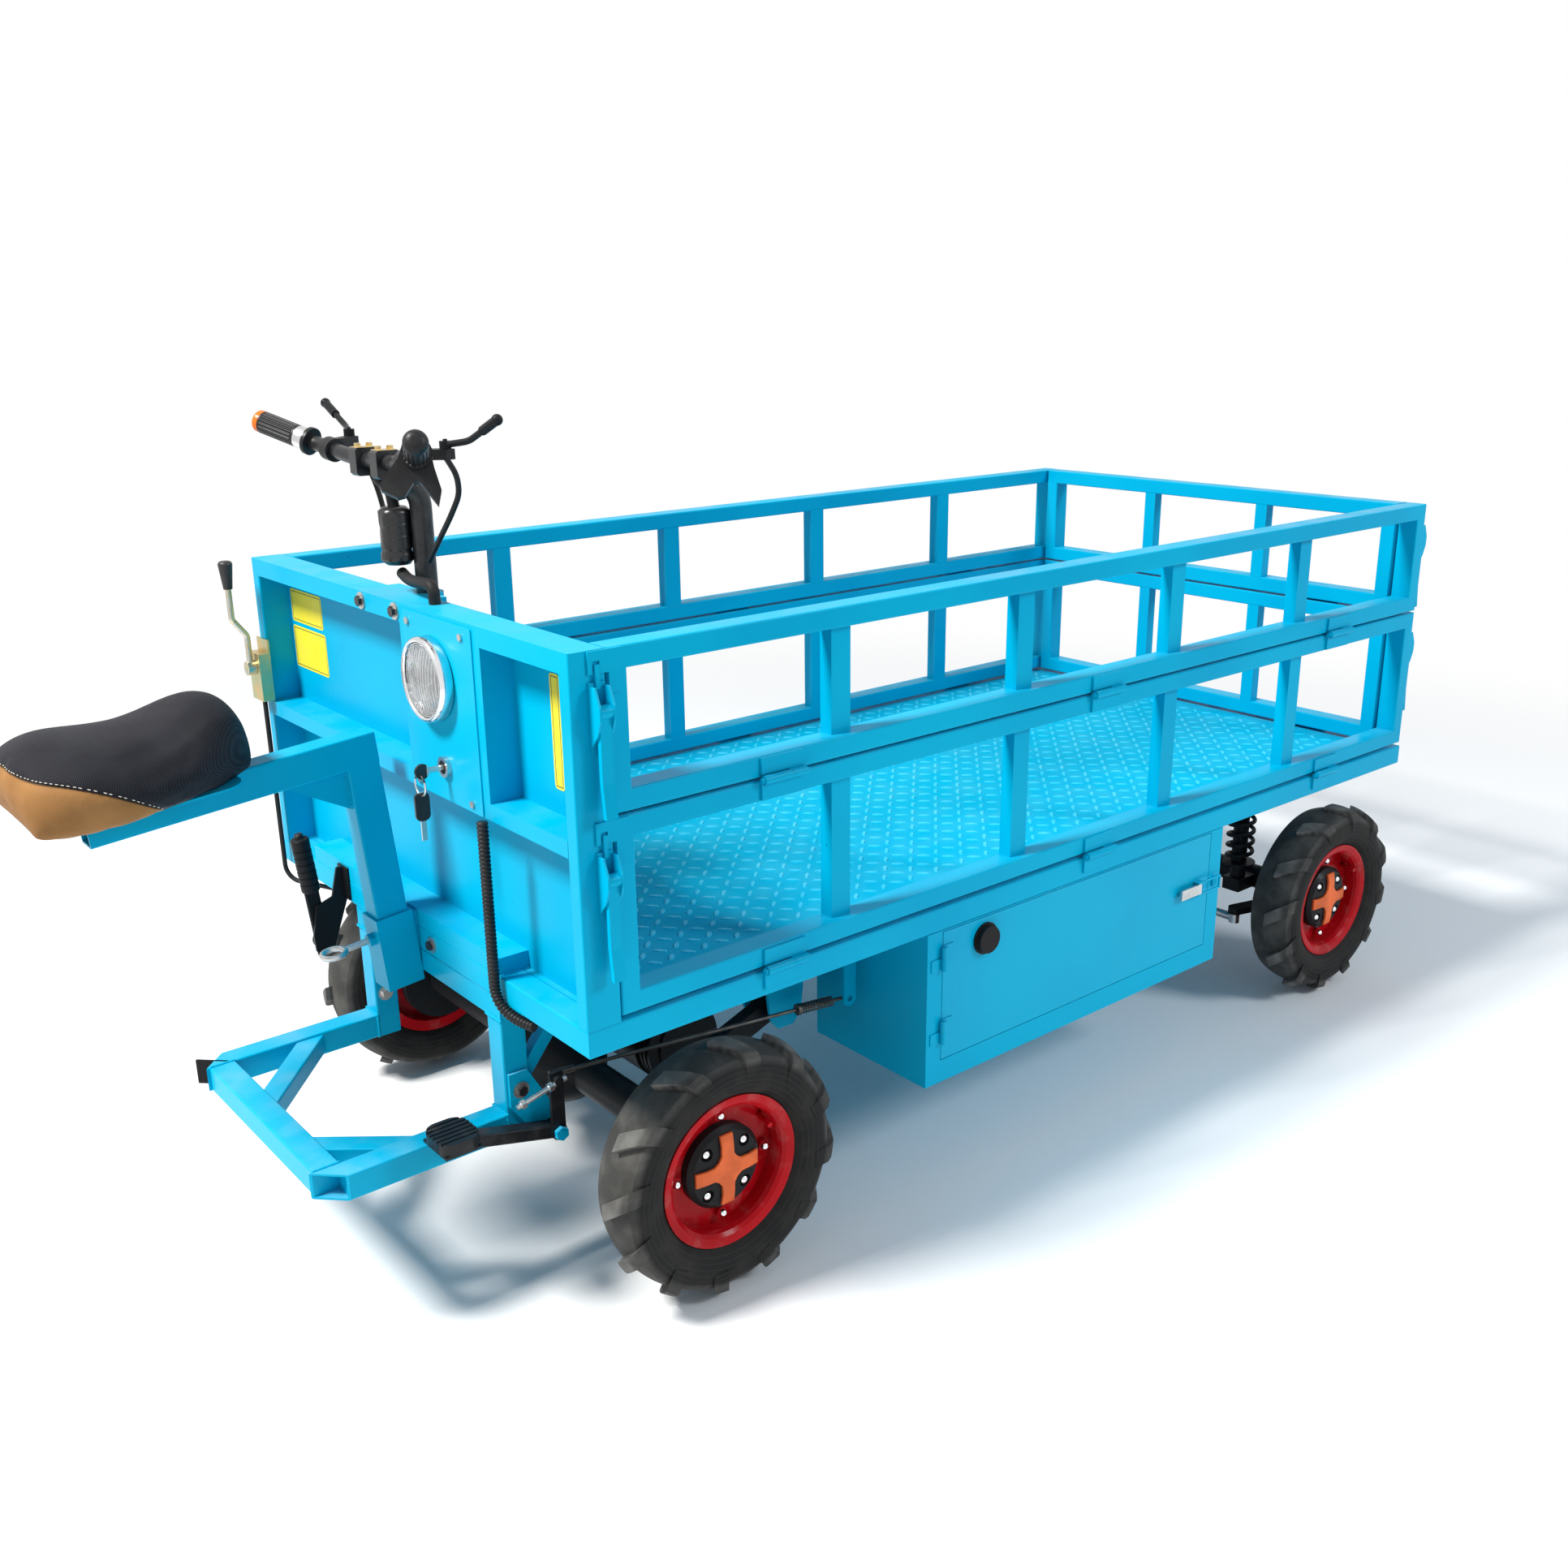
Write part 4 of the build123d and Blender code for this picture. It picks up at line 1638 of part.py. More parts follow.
def knuckle(side):
    """Fork round the boss with the kingpin, stub axle and steering arms."""
    x = FRONT_X
    y = side * KINGPIN_Y
    z = AXLE_Z
    top = z + BOSS_HALF + NEAR
    low = z - BOSS_HALF - NEAR
    half = FORK_HALF
    back = side * STUB_FLANGE_Y
    front = side * (STUB_FLANGE_Y + STUB_FLANGE)
    y0, y1 = min(back, front), max(back, front)
    body = block(x - half, x + half, y0, y1, low - FORK_SHEET, top + FORK_SHEET)
    for z0, z1 in ((low - FORK_SHEET, low), (top, top + FORK_SHEET)):
        body += flat_arm((x, y), (x, back), 2 * half, z0, z1)
    body += rod((x, y, low - FORK_SHEET), (x, y, top + FORK_SHEET), KINGPIN_R)
    ax, ay = steer_arm_end(side)
    body += flat_arm((x, y), (ax, ay), 28, low - FORK_SHEET, low)
    if side > 0:
        end = (x + DRAG_FORWARD, y - DRAG_ARM)
        body += rod((x, y, top), (x, y, DRAG_ARM_Z + FORK_SHEET), DRAG_POST_R)
        body += flat_arm((x, y), end, 28, DRAG_ARM_Z, DRAG_ARM_Z + FORK_SHEET)
    hub_back = side * (WHEEL_Y + HUB_BACK - NEAR)
    hub_front = side * (WHEEL_Y + HUB_FRONT - 2)
    body += rod((x, back, z), (x, hub_back, z), STUB_R + 8)
    return body + rod((x, back, z), (x, hub_front, z), STUB_R)


def tie_rod():
    """Rod between the two steering arms, with a ball joint under each."""
    top = AXLE_Z - BOSS_HALF - 2 * NEAR - FORK_SHEET
    ax, ay = steer_arm_end(1)
    z = top - BALL_TALL / 2
    body = rod((ax, -ay, z), (ax, ay, z), STEER_ROD_R)
    for y in (-ay, ay):
        body += rod((ax, y, top - BALL_TALL), (ax, y, top), BALL_R)
    return body


def drag_ends():
    """Ball centres of the drag link, under the column's arm and the left knuckle's arm."""
    near = (COLUMN_X, -PITMAN, COLUMN_FOOT - NEAR - BALL_TALL / 2)
    far = (FRONT_X + DRAG_FORWARD, KINGPIN_Y - DRAG_ARM, DRAG_ARM_Z - NEAR - BALL_TALL / 2)
    return near, far


def drag_link():
    """Rod from the column's lower arm to the left knuckle."""
    near, far = drag_ends()
    body = rod(near, (far[0], far[1], far[2] - DRAG_SAG), DRAG_R)
    for x, y, z in (near, far):
        body += rod((x, y, z - BALL_TALL / 2), (x, y, z + BALL_TALL / 2), BALL_R)
    return body


# Loose fasteners

def bolt(place, direction, radius):
    """Washer and hexagon head standing on a face."""
    spot = Vector(*place)
    way = Vector(*direction)
    washer = rod(place, tuple(spot + way * 2), radius * 1.6)
    return washer + hexagon(tuple(spot + way * 1), direction, radius, 7)


def fasteners():
    """Bolts on the headboard, beam and uprights, and the cover's screws."""
    pieces = []
    for y in (72, -38):
        pieces.append(bolt((0, y, TOP - TOP_RAIL / 2), (-1, 0, 0), 8))
    pieces.append(bolt((0, -63, RAIL_TOP - RAIL_HEIGHT / 2), (-1, 0, 0), 8))
    pieces.append(bolt((22, RIGHT_ARM_Y - PEDAL_BRACKET, 316), (0, -1, 0), 8))
    pieces.append(bolt((18, LEFT_ARM_Y, 316), (0, -1, 0), 8))
    for y in (COVER_LEFT - 16, COVER_RIGHT + 27):
        for z in (MID_RAIL_BOTTOM + 13, TOP - COVER_DROP - 15):
            pieces.append(rod((-COVER_SHEET, y, z), (-COVER_SHEET - 3, y, z), 5))
    return Compound(children=pieces)


def trolley():
    """Every piece by name, laid out from the headboard."""
    nodes = {
        "deck_frame": deck_frame(),
        "deck_plate": deck_plate(),
        "headboard_frame": headboard_frame(),
        "console_cover": console_cover(),
        "headlight": headlight(),
        "foot_frame": foot_frame(),
        "battery_box": battery_box(),
        "battery_pack": battery_pack(),
        "shift_box": shift_box(),
        "control_cables": control_cables(),
        "parking_bracket": parking_bracket(),
        "conduit": conduit(),
        "fasteners": fasteners(),
        "ignition_key": ignition_key(),
        "battery_door": battery_door(),
        "door_latch": door_latch(),
        "gear_lever": gear_lever(),
        "parking_lever": parking_lever(),
        "parking_button": parking_button(),
        "brake_pedal": brake_pedal(),
        "brake_link": brake_link(),
        "brake_cable": brake_cable(),
        "seat_post": seat_post(),
        "seat_cushion": seat_cushion(),
        "eye_bolt": eye_bolt(),
        "rear_axle": rear_axle(),
        "drive_motor": drive_motor(),
        "front_axle": front_axle(),
        "shock_springs": shock_springs(),
        "knuckle_right": knuckle(-1),
        "knuckle_left": knuckle(1),
        "tie_rod": tie_rod(),
        "drag_link": drag_link(),
        "handlebar": handlebar(),
        "handlebar_controls": handlebar_controls(),
        "throttle_grip": throttle_grip(),
        "brake_lever_right": brake_lever(-1),
        "brake_lever_left": brake_lever(1),
    }
    one_tyre = tyre()
    one_rim = rim()
    for end, x in (("rear", REAR_X), ("front", FRONT_X)):
        for name, side in (("right", -1), ("left", 1)):
            nodes[f"tyre_{end}_{name}"] = wheel_at(one_tyre, x, side)
            nodes[f"rim_{end}_{name}"] = wheel_at(one_rim, x, side)
    levels = (
        ("lower", LOWER_Z, LOWER_HEIGHT, LOWER_RISE, True),
        ("upper", UPPER_Z, UPPER_HEIGHT, UPPER_RISE, False),
    )
    handle = latch_lever()
    for level, z, height, rise, carries in levels:
        gate = left_gate_at(z) * side_gate(height, rise, carries)
        nodes[f"gate_{level}_left"] = gate
        nodes[f"gate_{level}_right"] = left_of(gate)
        nodes[f"gate_{level}_end"] = end_gate_at(z) * end_gate(height, rise, carries)
        near = near_latch(z + height) * handle
        far = left_gate_at(z) * far_latch(height) * handle
        nodes[f"latch_{level}_near_left"] = near
        nodes[f"latch_{level}_near_right"] = left_of(near)
        nodes[f"latch_{level}_far_left"] = far
        nodes[f"latch_{level}_far_right"] = left_of(far)
    return nodes


NODES = trolley()
BOXES = [shape.bounding_box() for shape in NODES.values()]
SHIFT = -(min(box.min.X for box in BOXES) + max(box.max.X for box in BOXES)) / 2

os.makedirs("parts", exist_ok=True)
for node, shape in NODES.items():
    export_step(Pos(SHIFT, 0, 0) * shape, f"parts/{node}.step")
print(f"{len(NODES)} pieces, moved {SHIFT:.3f} mm along X")
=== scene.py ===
import bisect
import math

import bmesh
import bpy
from mathutils import Matrix, Vector, noise


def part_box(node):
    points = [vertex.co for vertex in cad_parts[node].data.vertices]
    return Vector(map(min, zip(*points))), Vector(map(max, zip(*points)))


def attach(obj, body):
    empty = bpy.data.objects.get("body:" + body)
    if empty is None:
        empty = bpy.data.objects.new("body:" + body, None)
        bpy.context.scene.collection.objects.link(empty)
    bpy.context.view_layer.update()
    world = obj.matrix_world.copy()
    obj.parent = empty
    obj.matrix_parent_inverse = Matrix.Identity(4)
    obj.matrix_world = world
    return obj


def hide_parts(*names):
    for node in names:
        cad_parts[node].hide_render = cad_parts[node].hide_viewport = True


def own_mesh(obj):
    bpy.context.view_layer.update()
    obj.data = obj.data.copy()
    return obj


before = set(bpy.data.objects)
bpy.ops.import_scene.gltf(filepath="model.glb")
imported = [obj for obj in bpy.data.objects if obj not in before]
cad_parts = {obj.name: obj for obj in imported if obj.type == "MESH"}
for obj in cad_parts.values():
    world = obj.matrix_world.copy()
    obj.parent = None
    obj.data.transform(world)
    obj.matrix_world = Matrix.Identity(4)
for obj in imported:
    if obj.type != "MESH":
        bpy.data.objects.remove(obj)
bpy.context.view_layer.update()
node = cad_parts

# View. The trolley stands on a pale floor and is seen from behind its right rear corner,
# a little above the gates, through a short lens from about two and a half metres away.
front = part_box("deck_frame")[0].x          # X of the headboard's front face
camera_data = bpy.data.cameras.new("camera")
camera_data.sensor_width = 36
focal_pixels, photo_pixels = 1862, 1932
camera_data.lens = camera_data.sensor_width * focal_pixels / photo_pixels
camera = bpy.data.objects.new("camera", camera_data)
bpy.context.scene.collection.objects.link(camera)
camera.matrix_world = (
    Matrix.Translation((front - 0.9262, -2.0314, 1.4031))
    @ Matrix.Rotation(math.radians(-39.45), 4, "Z")
    @ Matrix.Rotation(math.radians(90 - 17.64), 4, "X")
    @ Matrix.Rotation(math.radians(-0.68), 4, "Z")
)
bpy.context.scene.camera = camera
bpy.context.scene.view_settings.view_transform = "Standard"


def lamp(name, place, target, size, power, colour):
    """Soft square lamp that points at a target."""
    data = bpy.data.lights.new(name, "AREA")
    data.size = size
    data.energy = power
    data.color = colour
    made = bpy.data.objects.new(name, data)
    bpy.context.scene.collection.objects.link(made)
    made.location = place
    made.rotation_euler = (Vector(target) - Vector(place)).to_track_quat("-Z", "Y").to_euler()


lamp("key", (-4.6, 0.7, 6.0), (0.1, 0, 0.5), 1.4, 720, (1, 0.98, 0.94))
lamp("fill", (2.4, -4.0, 3.2), (0.2, -0.3, 0.6), 1.2, 105, (0.86, 0.94, 1))

world = bpy.data.worlds.new("studio")
bpy.context.scene.world = world
world.use_nodes = True
sky = world.node_tree
sky.nodes.clear()
ray = sky.nodes.new("ShaderNodeLightPath")
seen = ray.outputs["Is Camera Ray"]
for kind in ("Is Glossy Ray", "Is Transmission Ray"):
    either = sky.nodes.new("ShaderNodeMath")
    either.operation = "MAXIMUM"
    sky.links.new(seen, either.inputs[0])
    sky.links.new(ray.outputs[kind], either.inputs[1])
    seen = either.outputs[0]
glow = sky.nodes.new("ShaderNodeMix")
glow.data_type = "RGBA"
glow.inputs[6].default_value = (0.31, 0.345, 0.385, 1)
glow.inputs[7].default_value = (1, 1, 1, 1)
sky.links.new(seen, glow.inputs[0])
light = sky.nodes.new("ShaderNodeBackground")
sky.links.new(glow.outputs[2], light.inputs["Color"])
sky.links.new(light.outputs[0], sky.nodes.new("ShaderNodeOutputWorld").inputs[0])


def as_object(name, shape):
    """Close a bmesh into an object at the origin."""
    mesh = bpy.data.meshes.new(name)
    shape.to_mesh(mesh)
    shape.free()
    made = bpy.data.objects.new(name, mesh)
    bpy.context.scene.collection.objects.link(made)
    return made


ground = bmesh.new()
bmesh.ops.create_grid(ground, x_segments=1, y_segments=1, size=14)
floor = as_object("floor", ground)
floor_paint = bpy.data.materials.new("floor")
floor_paint.use_nodes = True
cloth = floor_paint.node_tree
floor_shader = cloth.nodes["Principled BSDF"]
floor_shader.inputs["Base Color"].default_value = (0.93, 0.93, 0.93, 1)
floor_shader.inputs["Roughness"].default_value = 1.0
floor_shader.inputs["Specular IOR Level"].default_value = 0.0
spread = cloth.nodes.new("ShaderNodeTexGradient")
spread.gradient_type = "SPHERICAL"
reach = cloth.nodes.new("ShaderNodeMapping")
reach.inputs["Scale"].default_value = (0.22, 0.22, 1)
cloth.links.new(cloth.nodes.new("ShaderNodeTexCoord").outputs["Object"], reach.inputs["Vector"])
cloth.links.new(reach.outputs[0], spread.inputs[0])
edge = cloth.nodes.new("ShaderNodeMapRange")
edge.interpolation_type = "SMOOTHSTEP"
edge.inputs[1].default_value = 0.05
edge.inputs[2].default_value = 0.55
cloth.links.new(spread.outputs["Fac"], edge.inputs[0])
fade = cloth.nodes.new("ShaderNodeMixShader")
cloth.links.new(edge.outputs[0], fade.inputs[0])
cloth.links.new(cloth.nodes.new("ShaderNodeBsdfTransparent").outputs[0], fade.inputs[1])
cloth.links.new(floor_shader.outputs[0], fade.inputs[2])
cloth.links.new(fade.outputs[0], cloth.nodes["Material Output"].inputs[0])
floor.data.materials.append(floor_paint)


# Sprayed steel. The frame, gates, battery box and foot frame are welded mild steel tube and sheet,
# sprayed in one coat of bright blue enamel: glossy, faintly rippled, dusty on top, chipped here and there.
class Tone:
    """A value that varies over a surface, so that sums of them read as sums."""

    def __init__(self, finish, socket):
        self.finish = finish
        self.socket = socket

    def sum(self, operation, *values):
        return self.finish.add("ShaderNodeMath", {"operation": operation}, dict(enumerate(values)))

    def __add__(self, other):
        return self.sum("ADD", self, other)

    def __radd__(self, other):
        return self.sum("ADD", other, self)

    def __sub__(self, other):
        return self.sum("SUBTRACT", self, other)

    def __rsub__(self, other):
        return self.sum("SUBTRACT", other, self)

    def __mul__(self, other):
        return self.sum("MULTIPLY", self, other)

    def __rmul__(self, other):
        return self.sum("MULTIPLY", other, self)

    def __truediv__(self, other):
        return self.sum("DIVIDE", self, other)

    def __pow__(self, other):
        return self.sum("POWER", self, other)

    def __abs__(self):
        return self.sum("ABSOLUTE", self)

    def least(self, other):
        return self.sum("MINIMUM", self, other)

    def most(self, other):
        return self.sum("MAXIMUM", self, other)

    def sine(self):
        return self.sum("SINE", self)

    def root(self):
        return self.sum("SQRT", self)

    def rise(self, low, high):
        """0 below low, 1 above high, smooth between."""
        return self.finish.add(
            "ShaderNodeMapRange", {"interpolation_type": "SMOOTHSTEP"}, {0: self, 1: low, 2: high}
        )


class Finish:
    """A surface finish on the standard shader."""

    def __init__(self, name, colour, roughness, fixed=None):
        self.material = bpy.data.materials.new(name)
        self.material.use_nodes = True
        self.tree = self.material.node_tree
        self.shader = self.tree.nodes["Principled BSDF"]
        self.feed("Base Color", (*colour, 1))
        self.feed("Roughness", roughness)
        for socket, value in (fixed or {}).items():
            self.feed(socket, value)

    def feed(self, socket, value):
        self.join(self.shader.inputs[socket], value)

    def join(self, socket, value):
        if isinstance(value, Tone):
            self.tree.links.new(value.socket, socket)
        else:
            socket.default_value = value

    def add(self, kind, settings, values, out=0):
        """New node: its settings first, then its sockets' values or links."""
        made = self.tree.nodes.new(kind)
        for key, value in settings.items():
            setattr(made, key, value)
        for key, value in values.items():
            self.join(made.inputs[key], value)
        return Tone(self, made.outputs[out])

    def place(self, centre=(0, 0, 0), turn=(0, 0, 0)):
        """Object coordinates from a centre, in metres, then turned."""
        spot = self.add("ShaderNodeTexCoord", {}, {}, "Object")
        moved = self.add("ShaderNodeVectorMath", {"operation": "SUBTRACT"}, {0: spot, 1: centre})
        return self.add("ShaderNodeMapping", {}, {"Vector": moved, "Rotation": turn})

    def axes(self, spot):
        split = self.add("ShaderNodeSeparateXYZ", {}, {0: spot})
        parts = split.socket.node.outputs
        return [Tone(self, parts[i]) for i in range(3)]

    def noise(self, scale, detail=2.0, spot=None):
        return self.add(
            "ShaderNodeTexNoise", {}, {"Vector": spot or self.place(), "Scale": scale, "Detail": detail}
        )

    def mix(self, share, first, second):
        first = first if isinstance(first, Tone) else (*first, 1)
        second = second if isinstance(second, Tone) else (*second, 1)
        return self.add("ShaderNodeMix", {"data_type": "RGBA"}, {0: share, 6: first, 7: second}, 2)

    def dot(self, spot, way):
        values = {0: spot, 1: way}
        return self.add("ShaderNodeVectorMath", {"operation": "DOT_PRODUCT"}, values, "Value")

    def facing_up(self):
        normal = self.add("ShaderNodeNewGeometry", {}, {}, "Normal")
        return self.axes(normal)[2].rise(0.55, 0.95)

    def bump(self, height, strength, distance):
        made = self.add(
            "ShaderNodeBump", {}, {"Height": height, "Strength": strength, "Distance": distance}
        )
        self.feed("Normal", made)


def enamel(name, colour, deep, dust, gloss, shine=0.1):
    """Sprayed paint: broad drift in tone, settled dust, small chips and a rippled skin."""
    made = Finish(name, colour, gloss, {"Specular IOR Level": shine})
    drift = made.noise(2.4, 3.0).rise(0.3, 0.7)
    settled = made.facing_up() * made.noise(14.0, 4.0).rise(0.35, 0.75)
    chips = made.noise(160.0, 1.0).rise(0.79, 0.83) * made.noise(7.0, 2.0).rise(0.5, 0.62)
    tone = made.mix(drift, deep, colour)
    tone = made.mix(settled * 0.22, tone, dust)
    made.feed("Base Color", made.mix(chips * 0.75, tone, [c * 0.25 for c in deep]))
    made.feed("Roughness", gloss + 0.10 * drift + 0.22 * settled + 0.3 * chips)
    made.bump(made.noise(75.0, 2.0) - chips, 0.10, 0.0012)
    return made.material


def dress(material, *names):
    for name in names:
        node[name].data.materials.clear()
        node[name].data.materials.append(material)


blue_light = (0.0, 0.43, 0.66)
blue_deep = (0.0, 0.36, 0.59)
blue = enamel("blue_enamel", blue_light, blue_deep, (0.12, 0.50, 0.64), 0.27, 0.06)
dress(blue, "deck_frame", "headboard_frame", "battery_box", "seat_post", "brake_link")
dress(blue, *[name for name in node if name.startswith(("gate", "latch"))])

# Deck. A chequer plate lies flush between the rails and carries the load: short raised lozenges
# that stand across each other, rolled into the sheet and sprayed blue with the frame.
deck_low, deck_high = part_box("deck_plate")
plain_edges = 0.03                   # bare sheet at both edges together
lozenge_pitch = 0.030
lozenge_foot = 0.0130                # half length where it leaves the sheet
lozenge_crown = 0.0098               # half length on top
lozenge_height = 0.0018
lozenge_form = Matrix.Diagonal((1, 0.34, 1, 1))
lozenges = bmesh.new()
columns = int((deck_high.x - deck_low.x - plain_edges) / lozenge_pitch)
rows = int((deck_high.y - deck_low.y - plain_edges) / lozenge_pitch)
column_hole = Vector((front + 0.072, 0))
column_clear = 0.04
for i in range(columns + 1):
    for j in range(rows + 1):
        spot = Vector((
            deck_low.x + 0.02 + i * lozenge_pitch,
            (j - rows / 2) * lozenge_pitch,
            deck_high.z + 0.0007,
        ))
        if (spot.xy - column_hole).length < column_clear:
            continue
        lean = Matrix.Rotation(math.radians(45 if (i + j) % 2 else -45), 4, "Z")
        bmesh.ops.create_cone(
            lozenges, cap_ends=True, segments=6,
            radius1=lozenge_foot, radius2=lozenge_crown, depth=lozenge_height,
            matrix=Matrix.Translation(spot) @ lean @ lozenge_form,
        )
chequer = as_object("deck_chequer", lozenges)
deck_paint = enamel("deck_enamel", (0.0, 0.44, 0.67), (0.0, 0.38, 0.60), (0.10, 0.50, 0.63), 0.45, 0.02)
# The lozenges are sprayed a lighter blue than the plate: a painted highlight on the raised chequer, with real
# dust and chips on top.
worn_and_highlit_paint = enamel("chequer_enamel", (0.03, 0.56, 0.78), (0.01, 0.50, 0.72), (0.40, 0.66, 0.72), 0.30)
chequer.data.materials.append(worn_and_highlit_paint)
dress(deck_paint, "deck_plate")
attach(chequer, "chassis")

# Running gear. Axles, motor, knuckles, the parking brake and the bar's levers are iron, tube and
# pressed steel, painted black before they are bolted on, with road dust settled on them.
black = enamel("black_enamel", (0.014, 0.015, 0.017), (0.008, 0.009, 0.010), (0.06, 0.058, 0.055), 0.34)
dress(black, "rear_axle", "drive_motor", "front_axle", "knuckle_right", "knuckle_left")
dress(black, "parking_bracket", "parking_lever", "brake_lever_right", "brake_lever_left")

# Front springs. Wound steel coils in black enamel, seated between the axle's cups and the frame.
coils = bmesh.new()
coils.from_mesh(node["shock_springs"].data)
bmesh.ops.remove_doubles(coils, verts=coils.verts[:], dist=0.000001)
springs = as_object("front_springs", coils)
springs.data.materials.append(black)
springs.data.shade_smooth()
springs.data.set_sharp_from_angle(angle=math.radians(35))
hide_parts("shock_springs")
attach(springs, "chassis")
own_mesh(springs)

# Plated steel. The steering rods, door latch and eye bolt are zinc plated, and the shift box is pressed
# sheet in yellow zinc. The foot brake's cable is bare drawn wire, coloured dark as painted shade.
def plated(name, colour, other, roughness):
    """Zinc plate: metallic, with cloudy tints left by the bath."""
    made = Finish(name, colour, roughness, {"Metallic": 1.0})
    cloud = made.noise(38.0, 4.0).rise(0.3, 0.7)
    made.feed("Base Color", made.mix(cloud, colour, other))
    made.feed("Roughness", roughness + 0.16 * made.noise(90.0, 2.0))
    made.bump(made.noise(400.0, 2.0), 0.05, 0.0005)
    return made.material


zinc = plated("zinc_plate", (0.62, 0.62, 0.60), (0.46, 0.47, 0.49), 0.26)
yellow_zinc = plated("yellow_zinc", (0.62, 0.47, 0.22), (0.44, 0.50, 0.30), 0.30)
# The brake cable's dark steel is painted shade, for the shadow it runs through.
shaded_wire_steel = plated("shaded_wire_steel", (0.13, 0.12, 0.105), (0.08, 0.075, 0.07), 0.40)
dress(zinc, "door_latch", "eye_bolt", "tie_rod", "drag_link")
dress(shaded_wire_steel, "brake_cable")
dress(yellow_zinc, "shift_box")

# Moulded rubber and plastic. The cables have rubber sheaths; the battery cases and the parking
# lever's button are moulded in black plastic with a fine grain.
def moulded(name, colour, roughness, grain):
    """Moulding: cloudy black or colour with a grained skin."""
    made = Finish(name, colour, roughness, {"Specular IOR Level": 0.2})
    cloud = made.noise(22.0, 3.0)
    made.feed("Base Color", made.mix(cloud.rise(0.35, 0.75) * 0.5, colour, [c * 1.9 + 0.006 for c in colour]))
    made.feed("Roughness", roughness + 0.14 * cloud)
    made.bump(made.noise(grain, 2.0), 0.12, 0.0006)
    return made.material


black_rubber = moulded("black_rubber", (0.012, 0.012, 0.013), 0.52, 700.0)
black_plastic = moulded("black_plastic", (0.014, 0.014, 0.015), 0.36, 900.0)
dress(black_rubber, "control_cables")
dress(black_plastic, "battery_pack", "parking_button")

# Wheels. Lugged farm tyres on dished steel rims sprayed red. Chrome-tipped studs hold each disc, and a black
# moulded hub cap with four sunk bolts carries a plain orange cross.
def tyre_rubber(name, centre):
    """Black rubber: ringed walls, a fine mesh on the tread, pale dust on the lugs."""
    made = Finish(name, (0.02, 0.02, 0.02), 0.75, {"Specular IOR Level": 0.12})
    x, y, z = made.axes(made.place(centre))
    radius = (x * x + z * z).root()
    along = made.add("ShaderNodeMath", {"operation": "ARCTAN2"}, {0: z, 1: x}) * 0.19
    wall = radius.rise(0.120, 0.124) - radius.rise(0.168, 0.176)
    rings = (radius * (2 * math.pi / 0.0085)).sine().rise(0.6, 0.95) * wall
    tread = radius.rise(0.166, 0.178)
    mesh = (along * 1900.0).sine() * (y * 1900.0).sine() * tread
    tops = radius.rise(0.1915, 0.197)
    dust = made.noise(26.0, 5.0).rise(0.38, 0.72)
    tone = made.mix(dust * 0.6, (0.012, 0.012, 0.012), (0.040, 0.038, 0.034))
    tone = made.mix(tread * (0.30 + 0.35 * dust + 0.2 * mesh), tone, (0.13, 0.126, 0.117))
    tone = made.mix(tops * (0.35 + 0.5 * dust), tone, (0.19, 0.185, 0.175))
    tone = made.mix(rings * 0.4, tone, (0.035, 0.034, 0.032))
    made.feed("Base Color", tone)
    made.feed("Roughness", 0.62 + 0.25 * dust)
    made.bump(rings * 0.6 + mesh * 0.35 + made.noise(260.0, 2.0) * 0.3, 0.45, 0.0012)
    return made.material


def rim_enamel(name, centre, out):
    """Red enamel, with the hub cap's black plastic in the middle."""
    gloss = {"Specular IOR Level": 0.08, "Coat Weight": 0.03, "Coat Roughness": 0.08}
    made = Finish(name, (0.42, 0.004, 0.008), 0.2, gloss)
    x, y, z = made.axes(made.place(centre))
    radius = (x * x + z * z).root()
    cap = (1 - radius.rise(0.0664, 0.0668)) * (y * out).rise(0.0012, 0.0016)
    drift = made.noise(9.0, 3.0).rise(0.3, 0.7)
    dust = made.noise(34.0, 4.0).rise(0.5, 0.8)
    tone = made.mix(drift, (0.34, 0.002, 0.006), (0.47, 0.005, 0.010))
    tone = made.mix(dust * 0.16, tone, (0.42, 0.30, 0.27))
    made.feed("Base Color", made.mix(cap, tone, (0.013, 0.013, 0.014)))
    made.feed("Roughness", 0.20 + 0.2 * dust + 0.18 * cap)
    made.bump(made.noise(120.0, 2.0), 0.06, 0.001)
    return made.material


orange = moulded("orange_plastic", (0.62, 0.115, 0.03), 0.42, 900.0)
chrome = plated("bright_chrome", (0.82, 0.82, 0.83), (0.72, 0.73, 0.74), 0.07)
hub_face = 0.025                     # hub cap's face, outboard of the wheel's middle
disc_face = 0.001                    # rim disc's face, from the same middle
stud_circle = 0.081                  # radius that the disc's studs stand on
cap_bolt_circle = 0.048


